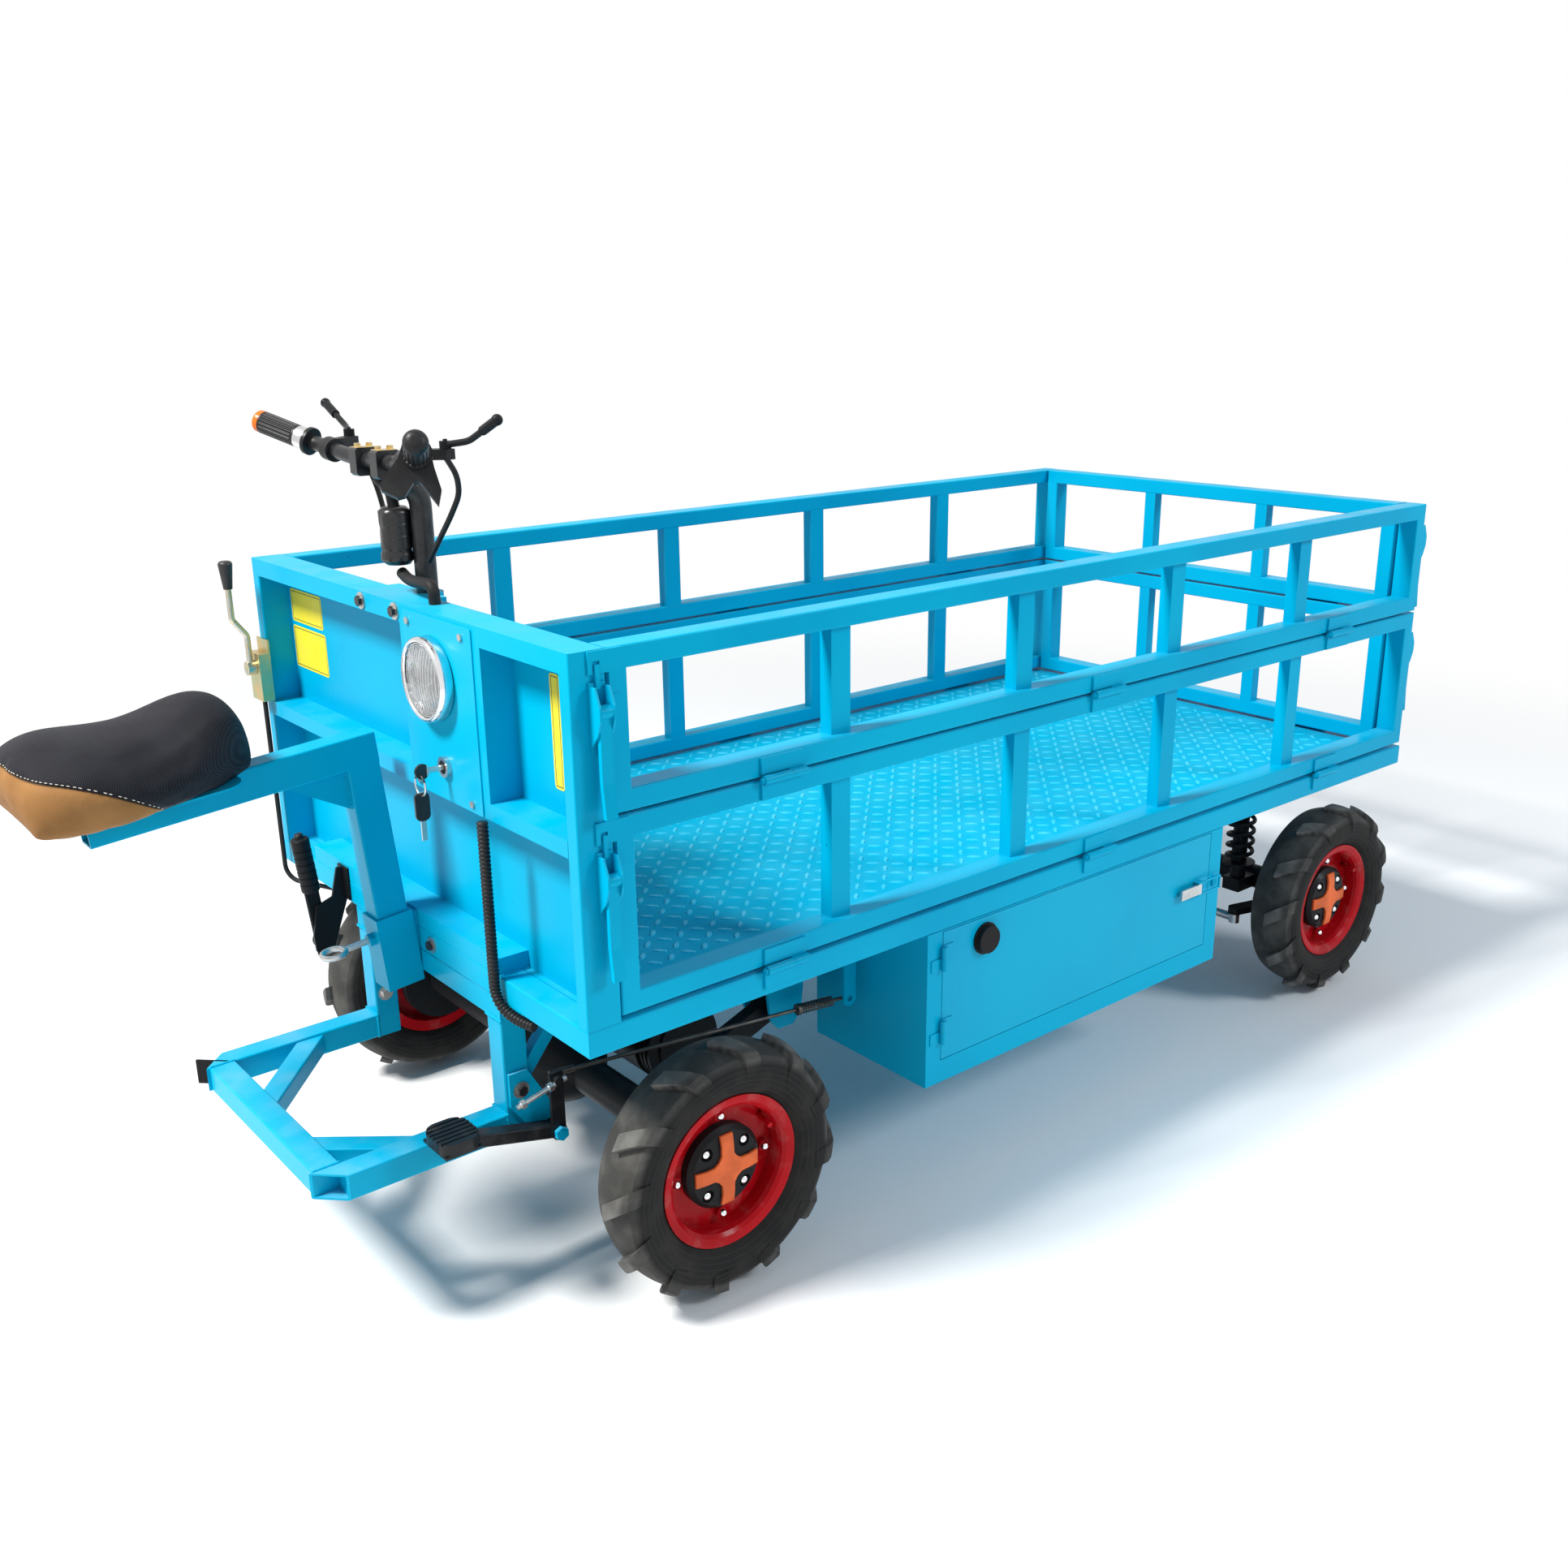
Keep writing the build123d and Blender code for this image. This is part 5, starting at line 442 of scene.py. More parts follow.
def hub_cross(seat):
    """Four flared arms on a square middle with a sunk square in it."""
    shape = bmesh.new()
    bmesh.ops.create_cube(shape, size=1, matrix=Matrix.Diagonal((0.033, 0.033, 0.005, 1)))
    for face in [f for f in shape.faces if abs(f.normal.z) < 0.5]:
        way = face.normal.copy()
        for reach, flare in ((0.008, 0.68), (0.015, 0.96), (0.017, 1.06)):
            made = bmesh.ops.extrude_discrete_faces(shape, faces=[face])
            face = made["faces"][0]
            bmesh.ops.translate(shape, verts=face.verts[:], vec=way * reach)
            middle = face.calc_center_median()
            across = Vector((-way.y, way.x, 0))
            for vert in face.verts:
                vert.co += across * ((vert.co - middle).dot(across) * (flare - 1))
        bmesh.ops.translate(shape, verts=face.verts[:], vec=(0, 0, -0.0032))
    top = max((f for f in shape.faces if f.normal.z > 0.9), key=lambda f: -f.calc_center_median().xy.length)
    bmesh.ops.inset_individual(shape, faces=[top], thickness=0.006)
    bmesh.ops.translate(shape, verts=top.verts[:], vec=(0, 0, -0.0012))
    bmesh.ops.remove_doubles(shape, verts=shape.verts[:], dist=0.00001)
    bmesh.ops.recalc_face_normals(shape, faces=shape.faces[:])
    sharp = [e for e in shape.edges if len(e.link_faces) == 2 and e.calc_face_angle() > 0.6]
    bmesh.ops.bevel(
        shape, geom=sharp, offset=0.0011, offset_type="OFFSET", segments=2,
        affect="EDGES", profile=0.5, material=-1, clamp_overlap=True,
    )
    lift = Matrix.Translation((0, 0, hub_face + 0.0021))
    bmesh.ops.transform(shape, matrix=seat @ lift, verts=shape.verts[:])
    return shape


def hub_nuts(seat):
    """Round tips on the disc's studs, and round bolt heads sunk in the hub cap."""
    shape = bmesh.new()
    for i in range(4):
        stud = Matrix.Rotation(i * math.pi / 2, 4, "Z") @ Matrix.Translation((stud_circle, 0, disc_face))
        bmesh.ops.create_uvsphere(
            shape, u_segments=20, v_segments=12, radius=0.0066,
            matrix=seat @ stud @ Matrix.Translation((0, 0, 0.0105)),
        )
        between = Matrix.Rotation((i + 0.5) * math.pi / 2, 4, "Z")
        sunk = between @ Matrix.Translation((cap_bolt_circle, 0, hub_face))
        bmesh.ops.create_uvsphere(
            shape, u_segments=20, v_segments=10, radius=0.0072,
            matrix=seat @ sunk @ Matrix.Translation((0, 0, -0.006)) @ Matrix.Diagonal((1, 1, 0.9, 1)),
        )
    return shape


for end in ("rear", "front"):
    for side, out in (("right", -1), ("left", 1)):
        low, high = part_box(f"tyre_{end}_{side}")
        centre = (low + high) / 2
        seat = Matrix.Translation(centre) @ Matrix.Rotation(math.radians(-90 * out), 4, "X")
        dress(tyre_rubber(f"tyre_rubber_{end}_{side}", centre), f"tyre_{end}_{side}")
        dress(rim_enamel(f"rim_enamel_{end}_{side}", centre, out), f"rim_{end}_{side}")
        for name, shape, finish, slot in (
            (f"hub_cross_{end}_{side}", hub_cross(seat), orange, "black_plastic"),
            (f"hub_nuts_{end}_{side}", hub_nuts(seat), chrome, "chrome"),
        ):
            made = as_object(name, shape)
            made.data.materials.append(finish)
            made.data.shade_smooth()
            made.data.set_sharp_from_angle(angle=math.radians(35))
            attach(made, f"{end}_{side}_wheel")

# Saddle. Moulded foam on a steel pan. A black ribbed cover goes over the top and nose, a tan panel round
# the back, and a pale stitched seam runs between them from the rear down to the base on both sides.
saddle_frame = Matrix.Translation((front - 0.039, 0, 0.530)) @ Matrix.Rotation(math.radians(-5.3), 4, "Y")
saddle_rear = -0.462                 # from the seat post, along the saddle
saddle_base = 0.2903                 # pan's top over the seat post's origin
seam_height = 0.080                  # over the base, at the rear
seam_reach = 0.158                   # from the rear to where the seam meets the base
most_swell = 0.005                   # how far the filling pushes the cover out
seam_draw = 0.0022                   # how deep the thread pulls it in


def seam_at(along):
    """Height of the seam over the base, at a distance from the rear."""
    return seam_height * (1 - (max(along, 0) / seam_reach) ** 1.7)


def settled(piece):
    """Mesh of a piece with its modifiers applied."""
    graph = bpy.context.evaluated_depsgraph_get()
    return bpy.data.meshes.new_from_object(piece.evaluated_get(graph))


foam = bmesh.new()
foam.from_mesh(node["seat_cushion"].data)
bmesh.ops.remove_doubles(foam, verts=foam.verts[:], dist=0.0004)
middle = sum((v.co for v in foam.verts), Vector()) / len(foam.verts)
bmesh.ops.scale(foam, vec=(0.99, 0.985, 0.985), space=Matrix.Translation(-middle), verts=foam.verts[:])
saddle = as_object("saddle", foam)
skin = saddle.modifiers.new("skin", "REMESH")
skin.mode = "VOXEL"
skin.voxel_size = 0.0052
saddle.data = settled(saddle)
saddle.modifiers.clear()
rest = [v.co.copy() for v in saddle.data.vertices]
swell = saddle.modifiers.new("swell", "CLOTH")
swell.settings.use_pressure = True
swell.settings.uniform_pressure_force = 3.0
swell.settings.effector_weights.gravity = 0
for step in range(1, 17):
    bpy.context.scene.frame_set(step)
blown = settled(saddle)
saddle.modifiers.clear()
for vert, old, new in zip(saddle.data.vertices, rest, blown.vertices):
    move = new.co - old
    vert.co = old + move * min(1, most_swell / max(move.length, 1e-6))
bpy.context.scene.frame_set(1)
into_saddle = saddle_frame.inverted()
sewn = bmesh.new()
sewn.from_mesh(saddle.data)
for _ in range(3):
    bmesh.ops.smooth_vert(
        sewn, verts=sewn.verts[:], factor=0.5, use_axis_x=True, use_axis_y=True, use_axis_z=True
    )
sewn.normal_update()
crossings = []
for edge in sewn.edges:
    ends = [into_saddle @ v.co for v in edge.verts]
    apart = [p.z - saddle_base - seam_at(p.x - saddle_rear) for p in ends]
    if apart[0] * apart[1] < 0 and ends[0].z > saddle_base + 0.004:
        share = apart[0] / (apart[0] - apart[1])
        spot = edge.verts[0].co.lerp(edge.verts[1].co, share)
        normal = edge.verts[0].normal.lerp(edge.verts[1].normal, share).normalized()
        local = into_saddle @ spot
        crossings.append((math.atan2(local.y, saddle_rear + seam_reach - local.x), spot, normal))
crossings.sort(key=lambda c: c[0])
for vert in sewn.verts:
    local = into_saddle @ vert.co
    apart = local.z - saddle_base - seam_at(local.x - saddle_rear)
    if local.z > saddle_base + 0.003:
        vert.co -= vert.normal * seam_draw * math.exp(-(apart / 0.004) ** 2)
sewn.to_mesh(saddle.data)
sewn.free()
saddle.data.shade_smooth()
smooth = saddle.modifiers.new("smooth", "SUBSURF")
smooth.levels = smooth.render_levels = 1

cover = Finish("saddle_cover", (0.02, 0.02, 0.024), 0.5, {"Specular IOR Level": 0.07})
x, y, z = cover.axes(cover.place(saddle_frame.translation, (0, math.radians(5.3), 0)))
back = ((x - saddle_rear).most(0.0001) / seam_reach) ** 1.7
over = z - saddle_base - seam_height * (1 - back)
tan = 1 - over.rise(-0.0008, 0.0008)
ribs = ((x * 2150.0).sine() * (y * 2150.0).sine()) * (1 - tan)
grain = cover.noise(330.0, 4.0)
cloud = cover.noise(16.0, 3.0).rise(0.3, 0.7)
seam = 1 - abs(over).rise(0.0006, 0.0022)
hide = cover.mix(cloud, (0.26, 0.125, 0.042), (0.33, 0.165, 0.06))
cloth = cover.mix(ribs.rise(-0.3, 0.6) * 0.6 + cloud * 0.2, (0.009, 0.009, 0.012), (0.034, 0.035, 0.043))
tone = cover.mix(tan, cloth, hide)
cover.feed("Base Color", cover.mix(seam * 0.75, tone, (0.012, 0.010, 0.009)))
cover.feed("Roughness", 0.44 + 0.12 * tan + 0.12 * grain)
cover.bump(ribs * 0.5 + grain * (0.25 + 0.3 * tan) - seam * 1.4, 0.5, 0.0012)
saddle.data.materials.clear()
saddle.data.materials.append(cover.material)
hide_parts("seat_cushion")
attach(saddle, "seat")

stitch_pitch = 0.0062
thread = bmesh.new()
walked = 0.0
for (_, a, _), (_, b, normal) in zip(crossings, crossings[1:]):
    step = (b - a).length
    if step > 0.03:
        continue
    walked += step
    if walked < stitch_pitch:
        continue
    walked = 0.0
    way = (b - a).normalized()
    up = saddle_frame.to_3x3() @ Vector((0, 0, 1))
    spot = b + normal * 0.0002 + (up - normal * up.dot(normal)).normalized() * 0.0034
    turn = Matrix((way, normal.cross(way).normalized(), normal)).transposed().to_4x4()
    bmesh.ops.create_uvsphere(
        thread, u_segments=8, v_segments=6, radius=1,
        matrix=Matrix.Translation(spot) @ turn @ Matrix.Diagonal((0.0023, 0.0006, 0.0006, 1)),
    )
stitches = as_object("saddle_stitches", thread)
stitches.data.materials.append(moulded("pale_thread", (0.62, 0.58, 0.5), 0.7, 900.0))
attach(stitches, "seat")

# Headlight. A chromed bezel screwed to the console holds a moulded clear lens with upright flutes, in
# front of a bright faceted reflector.
light_seat = Matrix.Translation((front - 0.002, -0.148, 0.914)) @ Matrix.Rotation(math.radians(-90), 4, "Y")


def lathe(name, outline, seat, steps=64):
    """Turn an outline of (radius, height) about the seat's axis."""
    shape = bmesh.new()
    verts = [shape.verts.new((r, 0, h)) for r, h in outline]
    edges = [shape.edges.new(pair) for pair in zip(verts, verts[1:])]
    bmesh.ops.spin(
        shape, geom=verts + edges, cent=(0, 0, 0), axis=(0, 0, 1), angle=2 * math.pi, steps=steps,
        use_merge=True,
    )
    bmesh.ops.remove_doubles(shape, verts=shape.verts[:], dist=0.00002)
    bmesh.ops.recalc_face_normals(shape, faces=shape.faces[:])
    bmesh.ops.transform(shape, matrix=seat, verts=shape.verts[:])
    made = as_object(name, shape)
    made.data.shade_smooth()
    return made


bezel = lathe("headlight_bezel", [
    (0.0525, 0.0002), (0.0585, 0.0002), (0.0605, 0.003), (0.0608, 0.014), (0.0598, 0.0185), (0.0575, 0.0212),
    (0.0548, 0.0215), (0.0530, 0.0198), (0.0525, 0.0165), (0.0525, 0.0002),
], light_seat)
bezel.data.materials.append(chrome)
reflector = lathe("headlight_reflector", [
    (0.0, 0.0006), (0.011, 0.0008), (0.0115, 0.006), (0.013, 0.0061), (0.028, 0.0078), (0.042, 0.0122),
    (0.0522, 0.0176),
], light_seat, 24)
reflector.data.shade_flat()
reflector.data.materials.append(chrome)
lens = lathe("headlight_lens", [
    (0.0, 0.0255), (0.015, 0.0248), (0.03, 0.0228), (0.043, 0.0195), (0.0522, 0.0168),
    (0.0522, 0.0152), (0.043, 0.0178), (0.03, 0.0211), (0.015, 0.0231), (0.0, 0.0238),
], light_seat)
glass = Finish("clear_lens", (0.95, 0.97, 0.98), 0.06, {"Transmission Weight": 0.9, "IOR": 1.46})
x, y, z = glass.axes(glass.place((front, -0.148, 0.914)))
glass.bump((y * (2 * math.pi / 0.0065)).sine() + 0.35 * glass.noise(55.0, 2.0), 0.6, 0.0012)
lens.data.materials.append(glass.material)
for made in (bezel, reflector, lens):
    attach(made, "chassis")
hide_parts("headlight")

# Blank labels. Plain yellow vinyl with a thin dark border, stuck to the headboard's sheet: two on the
# left panel and a narrow strip on the right one. They carry no words or signs.
def label(name, y0, y1, z0, z1):
    """Thin sheet with rounded corners on the recessed panel."""
    shape = bmesh.new()
    centre = Vector((front + 0.0488, (y0 + y1) / 2, (z0 + z1) / 2))
    sheet = Matrix.Translation(centre) @ Matrix.Diagonal((0.0004, y1 - y0, z1 - z0, 1))
    bmesh.ops.create_cube(shape, size=1, matrix=sheet)
    corners = [e for e in shape.edges if abs((e.verts[0].co - e.verts[1].co).x) > 0.0003]
    bmesh.ops.bevel(
        shape, geom=corners, offset=min(0.006, (y1 - y0) / 4), offset_type="OFFSET", segments=5,
        affect="EDGES", profile=0.5, material=-1, clamp_overlap=True,
    )
    made = as_object(name, shape)
    vinyl = Finish(name + "_vinyl", (0.80, 0.66, 0.02), 0.35)
    x, y, z = vinyl.axes(vinyl.place(centre))
    edge = ((y1 - y0) / 2 - abs(y)).least((z1 - z0) / 2 - abs(z))
    border = edge.rise(0.0030, 0.0034) - edge.rise(0.0046, 0.0050)
    fade = vinyl.noise(30.0, 4.0).rise(0.35, 0.75)
    tone = vinyl.mix(fade * 0.5, (0.84, 0.70, 0.015), (0.72, 0.62, 0.06))
    vinyl.feed("Base Color", vinyl.mix(border * 0.85, tone, (0.03, 0.03, 0.025)))
    vinyl.feed("Roughness", 0.3 + 0.2 * fade)
    vinyl.bump(vinyl.noise(45.0, 2.0), 0.08, 0.0008)
    made.data.materials.append(vinyl.material)
    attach(made, "chassis")


label("label_upper", 0.343, 0.468, 0.897, 0.953)
label("label_lower", 0.338, 0.470, 0.818, 0.890)
label("label_strip", -0.396, -0.372, 0.797, 0.954)

# Screws and bolts. Black hexagon heads on plated washers hold the column plate, beam and foot frame;
# small plated pan heads hold the console's cover.
bolts = Finish("bolt_plate", (0.6, 0.6, 0.58), 0.3)
x, y, z = bolts.axes(bolts.place((front, 0, 0)))
black_head = (-0.0021 - x).rise(0, 0.0002) * y.rise(-0.0735, -0.0725)
side_head = (-0.2702 - y).rise(0, 0.0002) * x.rise(0.004, 0.008)
cloud = bolts.noise(60.0, 3.0).rise(0.3, 0.7)
steel_tone = bolts.mix(cloud, (0.62, 0.61, 0.58), (0.46, 0.46, 0.46))
dark = black_head.most(side_head)
bolts.feed("Base Color", bolts.mix(dark, steel_tone, (0.016, 0.016, 0.018)))
bolts.feed("Metallic", 1 - 0.8 * dark)
bolts.feed("Roughness", 0.28 + 0.15 * cloud)
dress(bolts.material, "fasteners")

# Console cover. Blue sheet with the key switch: a plated barrel round a black face. The key has a black
# moulded head, and a spare key hangs from it on a ring.
console = Finish("console_enamel", blue_light, 0.24, {"Specular IOR Level": 0.1})
x, y, z = console.axes(console.place((front, -0.165, 0.790)))
barrel = (-0.0021 - x).rise(0, 0.0002)
ring = (y * y + z * z).root()
drift = console.noise(2.4, 3.0).rise(0.3, 0.7)
tone = console.mix(drift, blue_deep, blue_light)
tone = console.mix(barrel, tone, (0.62, 0.62, 0.61))
face = barrel * (1 - ring.rise(0.0098, 0.0102))
console.feed("Base Color", console.mix(face, tone, (0.014, 0.014, 0.015)))
console.feed("Metallic", barrel * (1 - face))
console.feed("Roughness", 0.24 + 0.1 * drift)
console.bump(console.noise(75.0, 2.0), 0.10, 0.0012)
dress(console.material, "console_cover")

keys = Finish("key_steel", (0.6, 0.6, 0.58), 0.3)
x, y, z = keys.axes(keys.place((front, -0.165, 0.790)))
spare = z.rise(-0.0712, -0.0708) * (1 - z.rise(-0.0300, -0.0290)) * (1 - (y * y).rise(0.0000046, 0.0000054))
moulding = ((-0.0335 - x).rise(0, 0.0006) * z.rise(-0.0125, -0.0115)).most(spare)
keys.feed("Base Color", keys.mix(moulding, (0.6, 0.6, 0.58), (0.014, 0.014, 0.015)))
keys.feed("Metallic", 1 - moulding)
keys.feed("Roughness", 0.26 + 0.2 * keys.noise(90.0, 3.0))
dress(keys.material, "ignition_key")

# Gear lever. A cranked rod in yellow zinc that turns on the shift box's pin, with a black moulded knob
# pressed on its end.
gear = Finish("gear_rod", (0.6, 0.55, 0.4), 0.3)
x, y, z = gear.axes(gear.place((front, 0.486, 0.960)))
knob = z.rise(-0.0002, 0.0002)
cloud = gear.noise(60.0, 3.0).rise(0.3, 0.7)
rod_tone = gear.mix(cloud, (0.60, 0.52, 0.34), (0.5, 0.5, 0.46))
gear.feed("Base Color", gear.mix(knob, rod_tone, (0.013, 0.013, 0.014)))
gear.feed("Metallic", 1 - knob)
gear.feed("Roughness", 0.26 + 0.16 * cloud + 0.1 * knob)
dress(gear.material, "gear_lever")

# Foot pedal. Black-painted crank with a rubber pad. A plated, threaded adjuster rod is bolted beside
# its upright strap, with two locknuts.
pedal = Finish("pedal_paint", (0.012, 0.013, 0.015), 0.3, {"Specular IOR Level": 0.2})
dust = pedal.noise(34.0, 4.0).rise(0.45, 0.8)
pedal.feed("Base Color", pedal.mix(dust * 0.4, (0.012, 0.013, 0.015), (0.06, 0.058, 0.055)))
pedal.feed("Roughness", 0.28 + 0.25 * dust)
dress(pedal.material, "brake_pedal")

adjuster_eye = Vector((front + 0.080, -0.2983, 0.3282))
adjuster_tip = Vector((front - 0.003, -0.2983, 0.3080))
adjuster_turn = (adjuster_tip - adjuster_eye).to_track_quat("Z", "Y").to_matrix().to_4x4()
adjuster = bmesh.new()
adjuster_rod_size = (0.5, 0.0854, 20, 0.004)     # place on the line, length, sides, radius
adjuster_nut_sizes = ((0.32, 0.007, 6, 0.0075), (0.88, 0.007, 6, 0.0075))
for along, length, sides, radius in (adjuster_rod_size, *adjuster_nut_sizes):
    bmesh.ops.create_cone(
        adjuster, cap_ends=True, segments=sides, radius1=radius, radius2=radius, depth=length,
        matrix=Matrix.Translation(adjuster_eye.lerp(adjuster_tip, along)) @ adjuster_turn,
    )
adjuster_rod = as_object("adjuster_rod", adjuster)
adjuster_rod.data.materials.append(zinc)
adjuster_rod.data.shade_smooth()
adjuster_rod.data.set_sharp_from_angle(angle=math.radians(35))
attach(adjuster_rod, "pedal")

# Foot frame and battery door. Blue sprayed steel with a black moulding in each: the cap pushed into the
# left arm's cut end, and the charge port screwed to the door.
def enamel_and_plastic(name, mask):
    """The blue enamel with black moulded plastic where the mask says."""
    made = Finish(name, blue_light, 0.24, {"Specular IOR Level": 0.1})
    plastic = mask(made)
    drift = made.noise(2.4, 3.0).rise(0.3, 0.7)
    dust = made.facing_up() * made.noise(14.0, 4.0).rise(0.35, 0.75)
    tone = made.mix(drift, blue_deep, blue_light)
    tone = made.mix(dust * 0.22, tone, (0.42, 0.55, 0.6))
    made.feed("Base Color", made.mix(plastic, tone, (0.013, 0.013, 0.014)))
    made.feed("Roughness", 0.24 + 0.10 * drift + 0.22 * dust + 0.2 * plastic)
    made.bump(made.noise(75.0, 2.0), 0.10, 0.0012)
    return made.material


def end_cap(made):
    x, y, z = made.axes(made.place((front - 0.265, 0.188, 0.26)))
    return ((y - x) * 0.7071).rise(0.0001, 0.0003)


def charge_port(made):
    x, y, z = made.axes(made.place((front + 0.750, -0.5, 0.424)))
    return (1 - (x * x + z * z).root().rise(0.0272, 0.0274)) * (-0.0003 - y).rise(0, 0.0002)


dress(enamel_and_plastic("foot_frame_enamel", end_cap), "foot_frame")
dress(enamel_and_plastic("door_enamel", charge_port), "battery_door")

# Handlebar. Bent steel tube in black enamel, held in the column's stem by two clamps. The clamps' four
# bolts are yellow zinc.
bar = Finish("bar_enamel", (0.012, 0.013, 0.015), 0.22, {"Specular IOR Level": 0.4})
x, y, z = bar.axes(bar.place((front, 0, 1.2162)))
bolt_head = z.rise(0, 0.0002) * (1 - abs(y).rise(0.050, 0.052))
cloud = bar.noise(40.0, 3.0).rise(0.3, 0.75)
tone = bar.mix(cloud * 0.35, (0.010, 0.011, 0.013), (0.05, 0.049, 0.046))
bar.feed("Base Color", bar.mix(bolt_head, tone, (0.60, 0.46, 0.22)))
bar.feed("Metallic", bolt_head)
bar.feed("Roughness", 0.22 + 0.22 * cloud)
bar.bump(bar.noise(90.0, 2.0), 0.06, 0.001)
dress(bar.material, "handlebar")

# Grips. Black rubber with lengthwise ribs on both bar ends. The left one has a plated ring next to its
# flange and a clear amber tip; the throttle's ribs stop short of its plain round end.
grip_start = Vector((front - 0.005, 0.158, 1.213))
grip_way = Vector((-0.046, 0.093, 0.031)).normalized()


def grip_rubber(name, side, ring, ribs_end, tip):
    """Ribs by angle round the grip, with a ring and a tip between distances along it."""
    made = Finish(name, (0.012, 0.012, 0.013), 0.45, {"Specular IOR Level": 0.25})
    way = Vector((grip_way.x, side * grip_way.y, grip_way.z))
    level = Vector((0, 0, 1)).cross(way).normalized()
    spot = made.place((grip_start.x, side * grip_start.y, grip_start.z))
    far = made.dot(spot, way)
    across, up = made.dot(spot, level), made.dot(spot, way.cross(level))
    angle = made.add("ShaderNodeMath", {"operation": "ARCTAN2"}, {0: up, 1: across})
    near_axis = 1 - (across * across + up * up).root().rise(0.0182, 0.0184)
    sleeve = near_axis * far.rise(0.0180, 0.0186)
    plated_ring = sleeve * (1 - far.rise(ring, ring + 0.0004))
    amber = sleeve * far.rise(tip, tip + 0.0004)
    ribs = sleeve * far.rise(ring + 0.004, ring + 0.006) * (1 - far.rise(ribs_end - 0.002, ribs_end))
    waves = (angle * 18.0).sine() * ribs
    cloud = made.noise(60.0, 3.0).rise(0.35, 0.75)
    tone = made.mix(cloud * 0.3, (0.010, 0.010, 0.011), (0.03, 0.03, 0.03))
    tone = made.mix(ribs * waves.rise(0.2, 0.9) * 0.5, tone, (0.05, 0.05, 0.052))
    tone = made.mix(plated_ring, tone, (0.66, 0.66, 0.66))
    made.feed("Base Color", made.mix(amber, tone, (0.85, 0.16, 0.015)))
    made.feed("Metallic", plated_ring)
    made.feed("Roughness", 0.40 + 0.15 * cloud - 0.25 * amber.most(plated_ring))
    made.bump(waves + 0.1 * made.noise(500.0, 2.0), 0.8, 0.0012)
    return made.material


dress(grip_rubber("controls_rubber", 1, 0.036, 0.101, 0.103), "handlebar_controls")
dress(grip_rubber("throttle_rubber", -1, 0.020, 0.098, 0.2), "throttle_grip")

# Harness wrap. Shiny black tape is wound round the bundle beside the column, wrinkled and drawn in by a
# tie near its foot. The sleeve closes over the plain core and rides on the column.
wrap_axis = Vector((front + 0.04243, 0.02432, 0))
wrap_outline = [
    (0.0095, 1.0472), (0.0173, 1.0472), (0.0224, 1.0536), (0.0224, 1.0632),
    (0.0204, 1.0680), (0.0224, 1.0728),
]
wrap_outline += [(0.0224, 1.0728 + 0.002 * i) for i in range(1, 27)]
wrap_outline += [(0.0163, 1.1304), (0.0095, 1.1304)]
harness = lathe("harness_wrap", wrap_outline, Matrix.Translation(wrap_axis), 56)
for vert in harness.data.vertices:
    way = (vert.co - wrap_axis) * Vector((1, 1, 0))
    if way.length < 0.0200:
        continue
    way.normalize()
    free = max(0, 0.6 - way.dot(Vector((0.772, -0.635, 0))))
    crease = noise.noise(Vector((way.x * 2.2, way.y * 2.2, vert.co.z * 70)))
    fold = noise.noise(Vector((way.x * 1.1 + 5, way.y * 1.1, vert.co.z * 24)))
    vert.co += way * free * (0.0009 * abs(crease) + 0.0022 * abs(fold))
vinyl = Finish("black_tape", (0.011, 0.011, 0.012), 0.2, {"Specular IOR Level": 0.5})
height = vinyl.axes(vinyl.place())[2]
lap = (height * (2 * math.pi / 0.017) + 3.0 * vinyl.noise(9.0, 2.0)).sine()
vinyl.feed("Roughness", 0.18 + 0.2 * vinyl.noise(45.0, 3.0))
vinyl.bump(lap.rise(0.5, 1.0) + vinyl.noise(60.0, 3.0), 0.3, 0.0012)
harness.data.materials.append(vinyl.material)
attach(harness, "steering")

# Conduit. A corrugated plastic hose carries the wires from the console down in front of the headboard
# and under the rail. Its line hangs straight and turns to the right in one bend.
hose_route = [
    (front - 0.0121, -0.276, 0.739), (front - 0.0121, -0.276, 0.640), (front - 0.0121, -0.276, 0.546),
    (front - 0.0121, -0.276, 0.450), (front + 0.0095, -0.3447, 0.450),
]
hose_curve = bpy.data.curves.new("hose_line", "CURVE")
hose_curve.dimensions = "3D"
hose_curve.resolution_u = 40
hose_spline = hose_curve.splines.new("NURBS")
hose_spline.points.add(len(hose_route) - 1)
for point, place in zip(hose_spline.points, hose_route):
    point.co = (*place, 1)
hose_spline.order_u = 3
hose_spline.use_endpoint_u = True
hose_guide = bpy.data.objects.new("hose_line", hose_curve)
bpy.context.scene.collection.objects.link(hose_guide)
hose_path = [v.co.copy() for v in settled(hose_guide).vertices]
bpy.data.objects.remove(hose_guide)
hose_walk = [0.0]
for a, b in zip(hose_path, hose_path[1:]):
    hose_walk.append(hose_walk[-1] + (b - a).length)
hose_length = hose_walk[-1]
hose_ribs = 56
rib_outline = (                      # share of the pitch, radius
    (0.0, 0.0066), (0.12, 0.0068), (0.22, 0.0079), (0.34, 0.0080),
    (0.56, 0.0080), (0.68, 0.0079), (0.80, 0.0067),
)
hose_side = Vector((0.954, 0.30, 0))


def hose_ring(distance, radius):
    """Place of a ring of the hose, at a distance from the console."""
    i = min(max(bisect.bisect(hose_walk, distance) - 1, 0), len(hose_path) - 2)
    way = (hose_path[i + 1] - hose_path[i]).normalized()
    turn = Matrix((hose_side, way.cross(hose_side), way)).transposed().to_4x4()
    return Matrix.Translation(hose_path[i] + way * (distance - hose_walk[i])) @ turn @ Matrix.Scale(radius, 4)


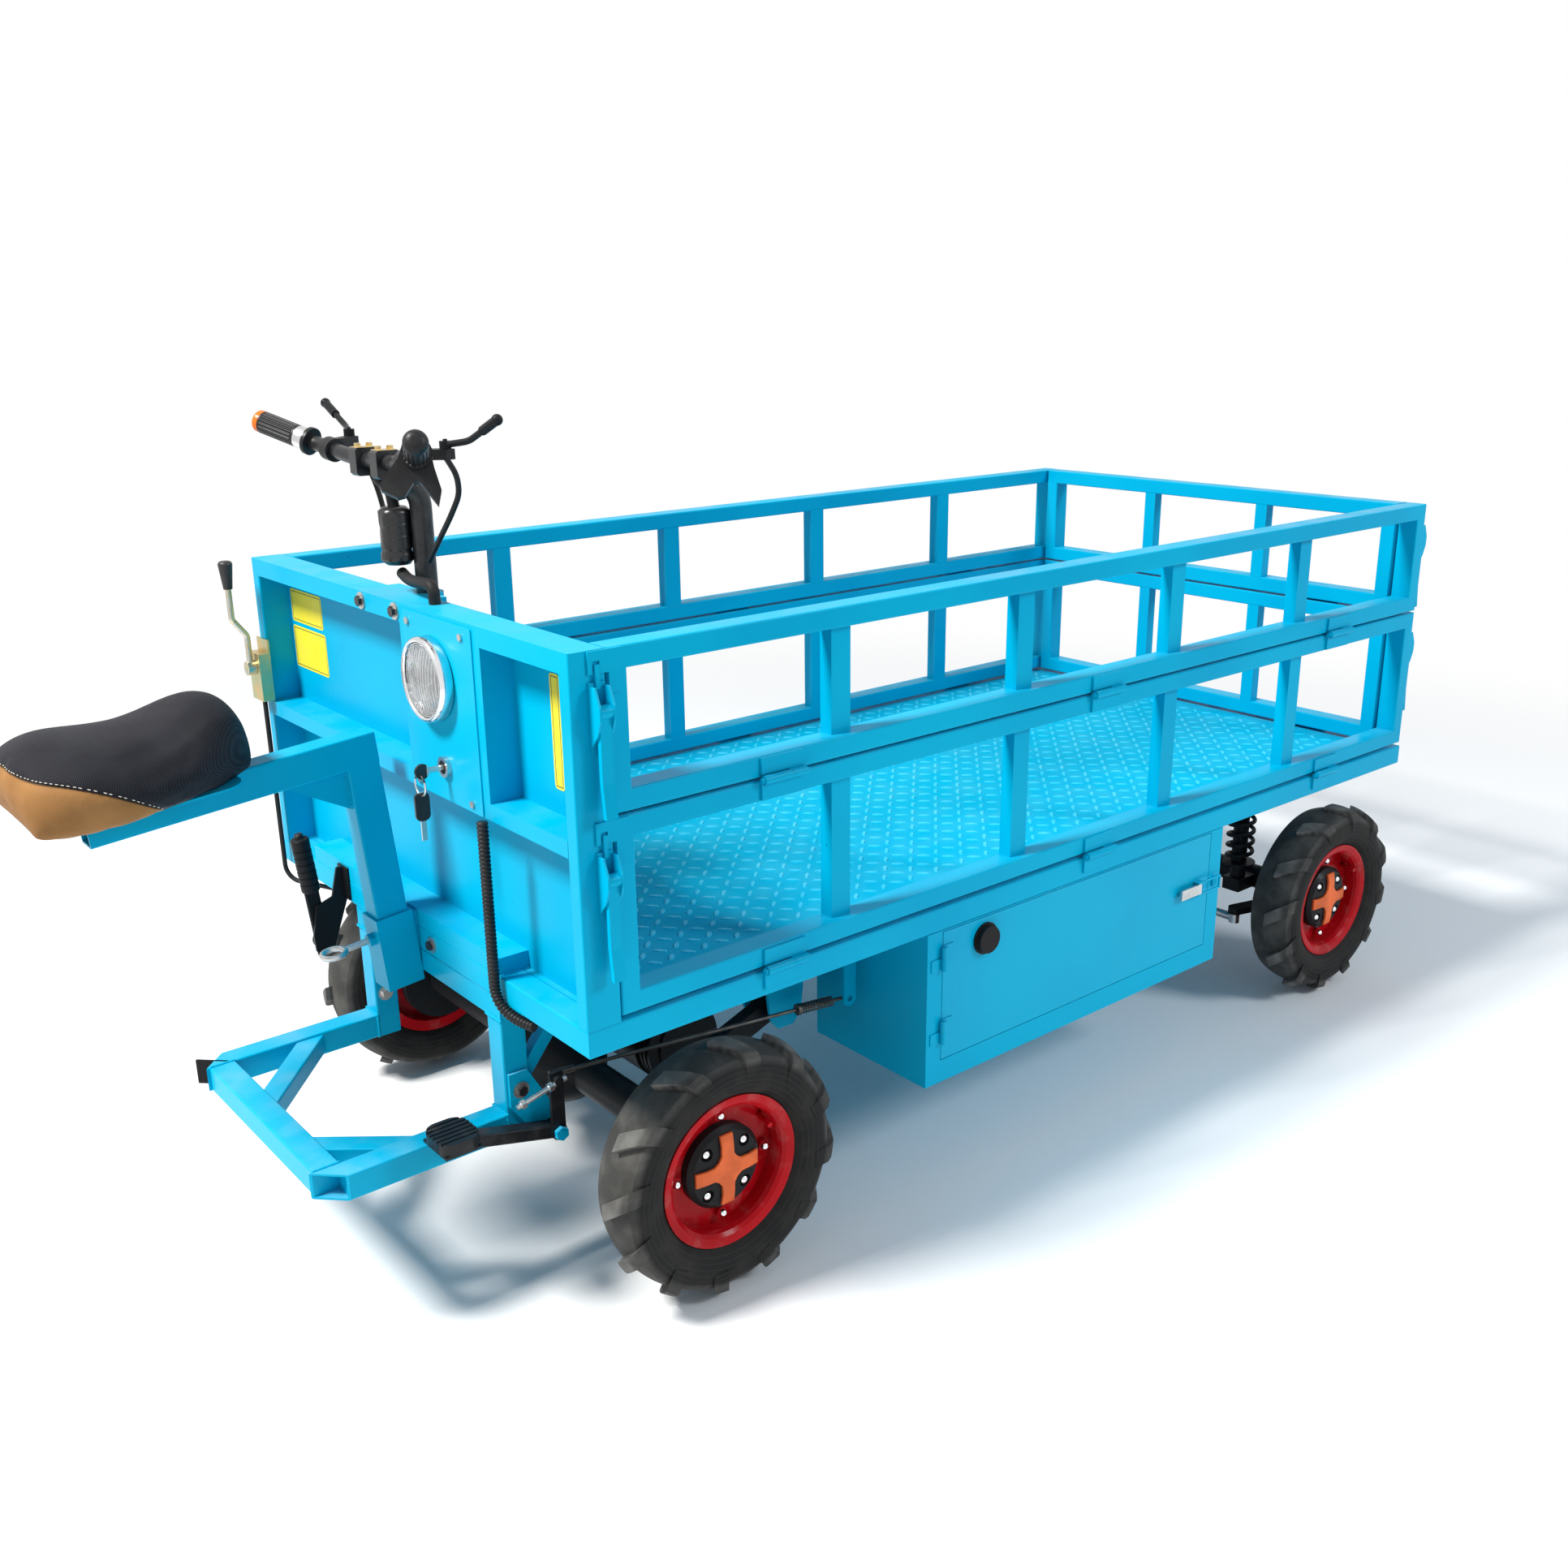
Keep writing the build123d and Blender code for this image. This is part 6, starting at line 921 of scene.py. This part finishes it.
ribbed = bmesh.new()
rings = [
    hose_ring((i + share) * hose_length / hose_ribs, radius)
    for i in range(hose_ribs) for share, radius in rib_outline
]
bmesh.ops.create_circle(ribbed, cap_ends=True, segments=28, radius=1, matrix=rings[0])
lip = ribbed.edges[:]
for before, after in zip(rings, rings[1:]):
    drawn = bmesh.ops.extrude_edge_only(ribbed, edges=lip)["geom"]
    lip = [part for part in drawn if isinstance(part, bmesh.types.BMEdge)]
    ends = [part for part in drawn if isinstance(part, bmesh.types.BMVert)]
    bmesh.ops.transform(ribbed, matrix=after @ before.inverted(), verts=ends)
bmesh.ops.contextual_create(ribbed, geom=lip)
bmesh.ops.recalc_face_normals(ribbed, faces=ribbed.faces[:])
hose = as_object("conduit_hose", ribbed)
hose.data.shade_smooth()
hose.data.materials.append(black_plastic)
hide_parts("conduit")
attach(hose, "chassis")

# Welds. Short hand-laid beads at the tube joints, sprayed over with the frame: overlapping ripples
# along the seat's gusset, the foot frame's corners and the headboard's rails. The headboard's sheet
# is closed at its foot by a narrow strip on the beam.
def weld(shape, start, end, size):
    """Row of overlapping ripples, a little uneven, from one point to another."""
    start, end = Vector(start), Vector(end)
    count = max(3, round((end - start).length / (size * 1.3)))
    for i in range(count + 1):
        jitter = noise.noise_vector(start * 90 + Vector((i * 1.7, 0, 0))) * size * 0.22
        swell = size * (1 + 0.2 * noise.noise(end * 50 + Vector((0, i * 2.3, 0))))
        spot = start.lerp(end, i / count) + jitter
        bmesh.ops.create_icosphere(shape, subdivisions=2, radius=swell, matrix=Matrix.Translation(spot))


def from_front(x, y, z):
    """Point from the headboard's front face, in metres."""
    return Vector((front + x, y, z))


seat_beads = bmesh.new()
for y in (-0.010, 0.010):
    for start, end in (((-0.027, 0.239), (-0.117, 0.239)), ((-0.025, 0.236), (-0.025, 0.181))):
        ends = [saddle_frame @ Vector((x, y, z)) for x, z in (start, end)]
        weld(seat_beads, *ends, 0.0026)
frame_beads = bmesh.new()
for y0, y1 in ((-0.262, -0.222), (0.168, 0.208)):
    weld(frame_beads, from_front(0, y0, 0.280), from_front(0, y1, 0.280), 0.0028)
    weld(frame_beads, from_front(0, y0, 0.430), from_front(0, y1, 0.430), 0.0028)
    weld(frame_beads, from_front(0, y0, 0.242), from_front(0, y0, 0.278), 0.0024)
weld(frame_beads, from_front(-0.278, -0.222, 0.280), from_front(-0.242, -0.222, 0.280), 0.0026)
weld(frame_beads, from_front(-0.278, 0.168, 0.280), from_front(-0.242, 0.168, 0.280), 0.0026)
for y in (-0.475, 0.475):
    for z in (0.738, 0.762, 0.503, 0.978):
        weld(frame_beads, from_front(0.003, y, z), from_front(0.047, y, z), 0.0026)
for y in (-0.269, 0.361):
    weld(frame_beads, from_front(0.003, y, 0.503), from_front(0.047, y, 0.503), 0.0026)
sheet_foot = Matrix.Translation(from_front(0.0445, 0, 0.5017)) @ Matrix.Diagonal((0.0094, 0.919, 0.0024, 1))
bmesh.ops.create_cube(frame_beads, size=1, matrix=sheet_foot)
for name, beads, body in (("seat_welds", seat_beads, "seat"), ("frame_welds", frame_beads, "chassis")):
    made = as_object(name, beads)
    made.data.shade_smooth()
    made.data.set_sharp_from_angle(angle=math.radians(50))
    made.data.materials.append(blue)
    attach(made, body)
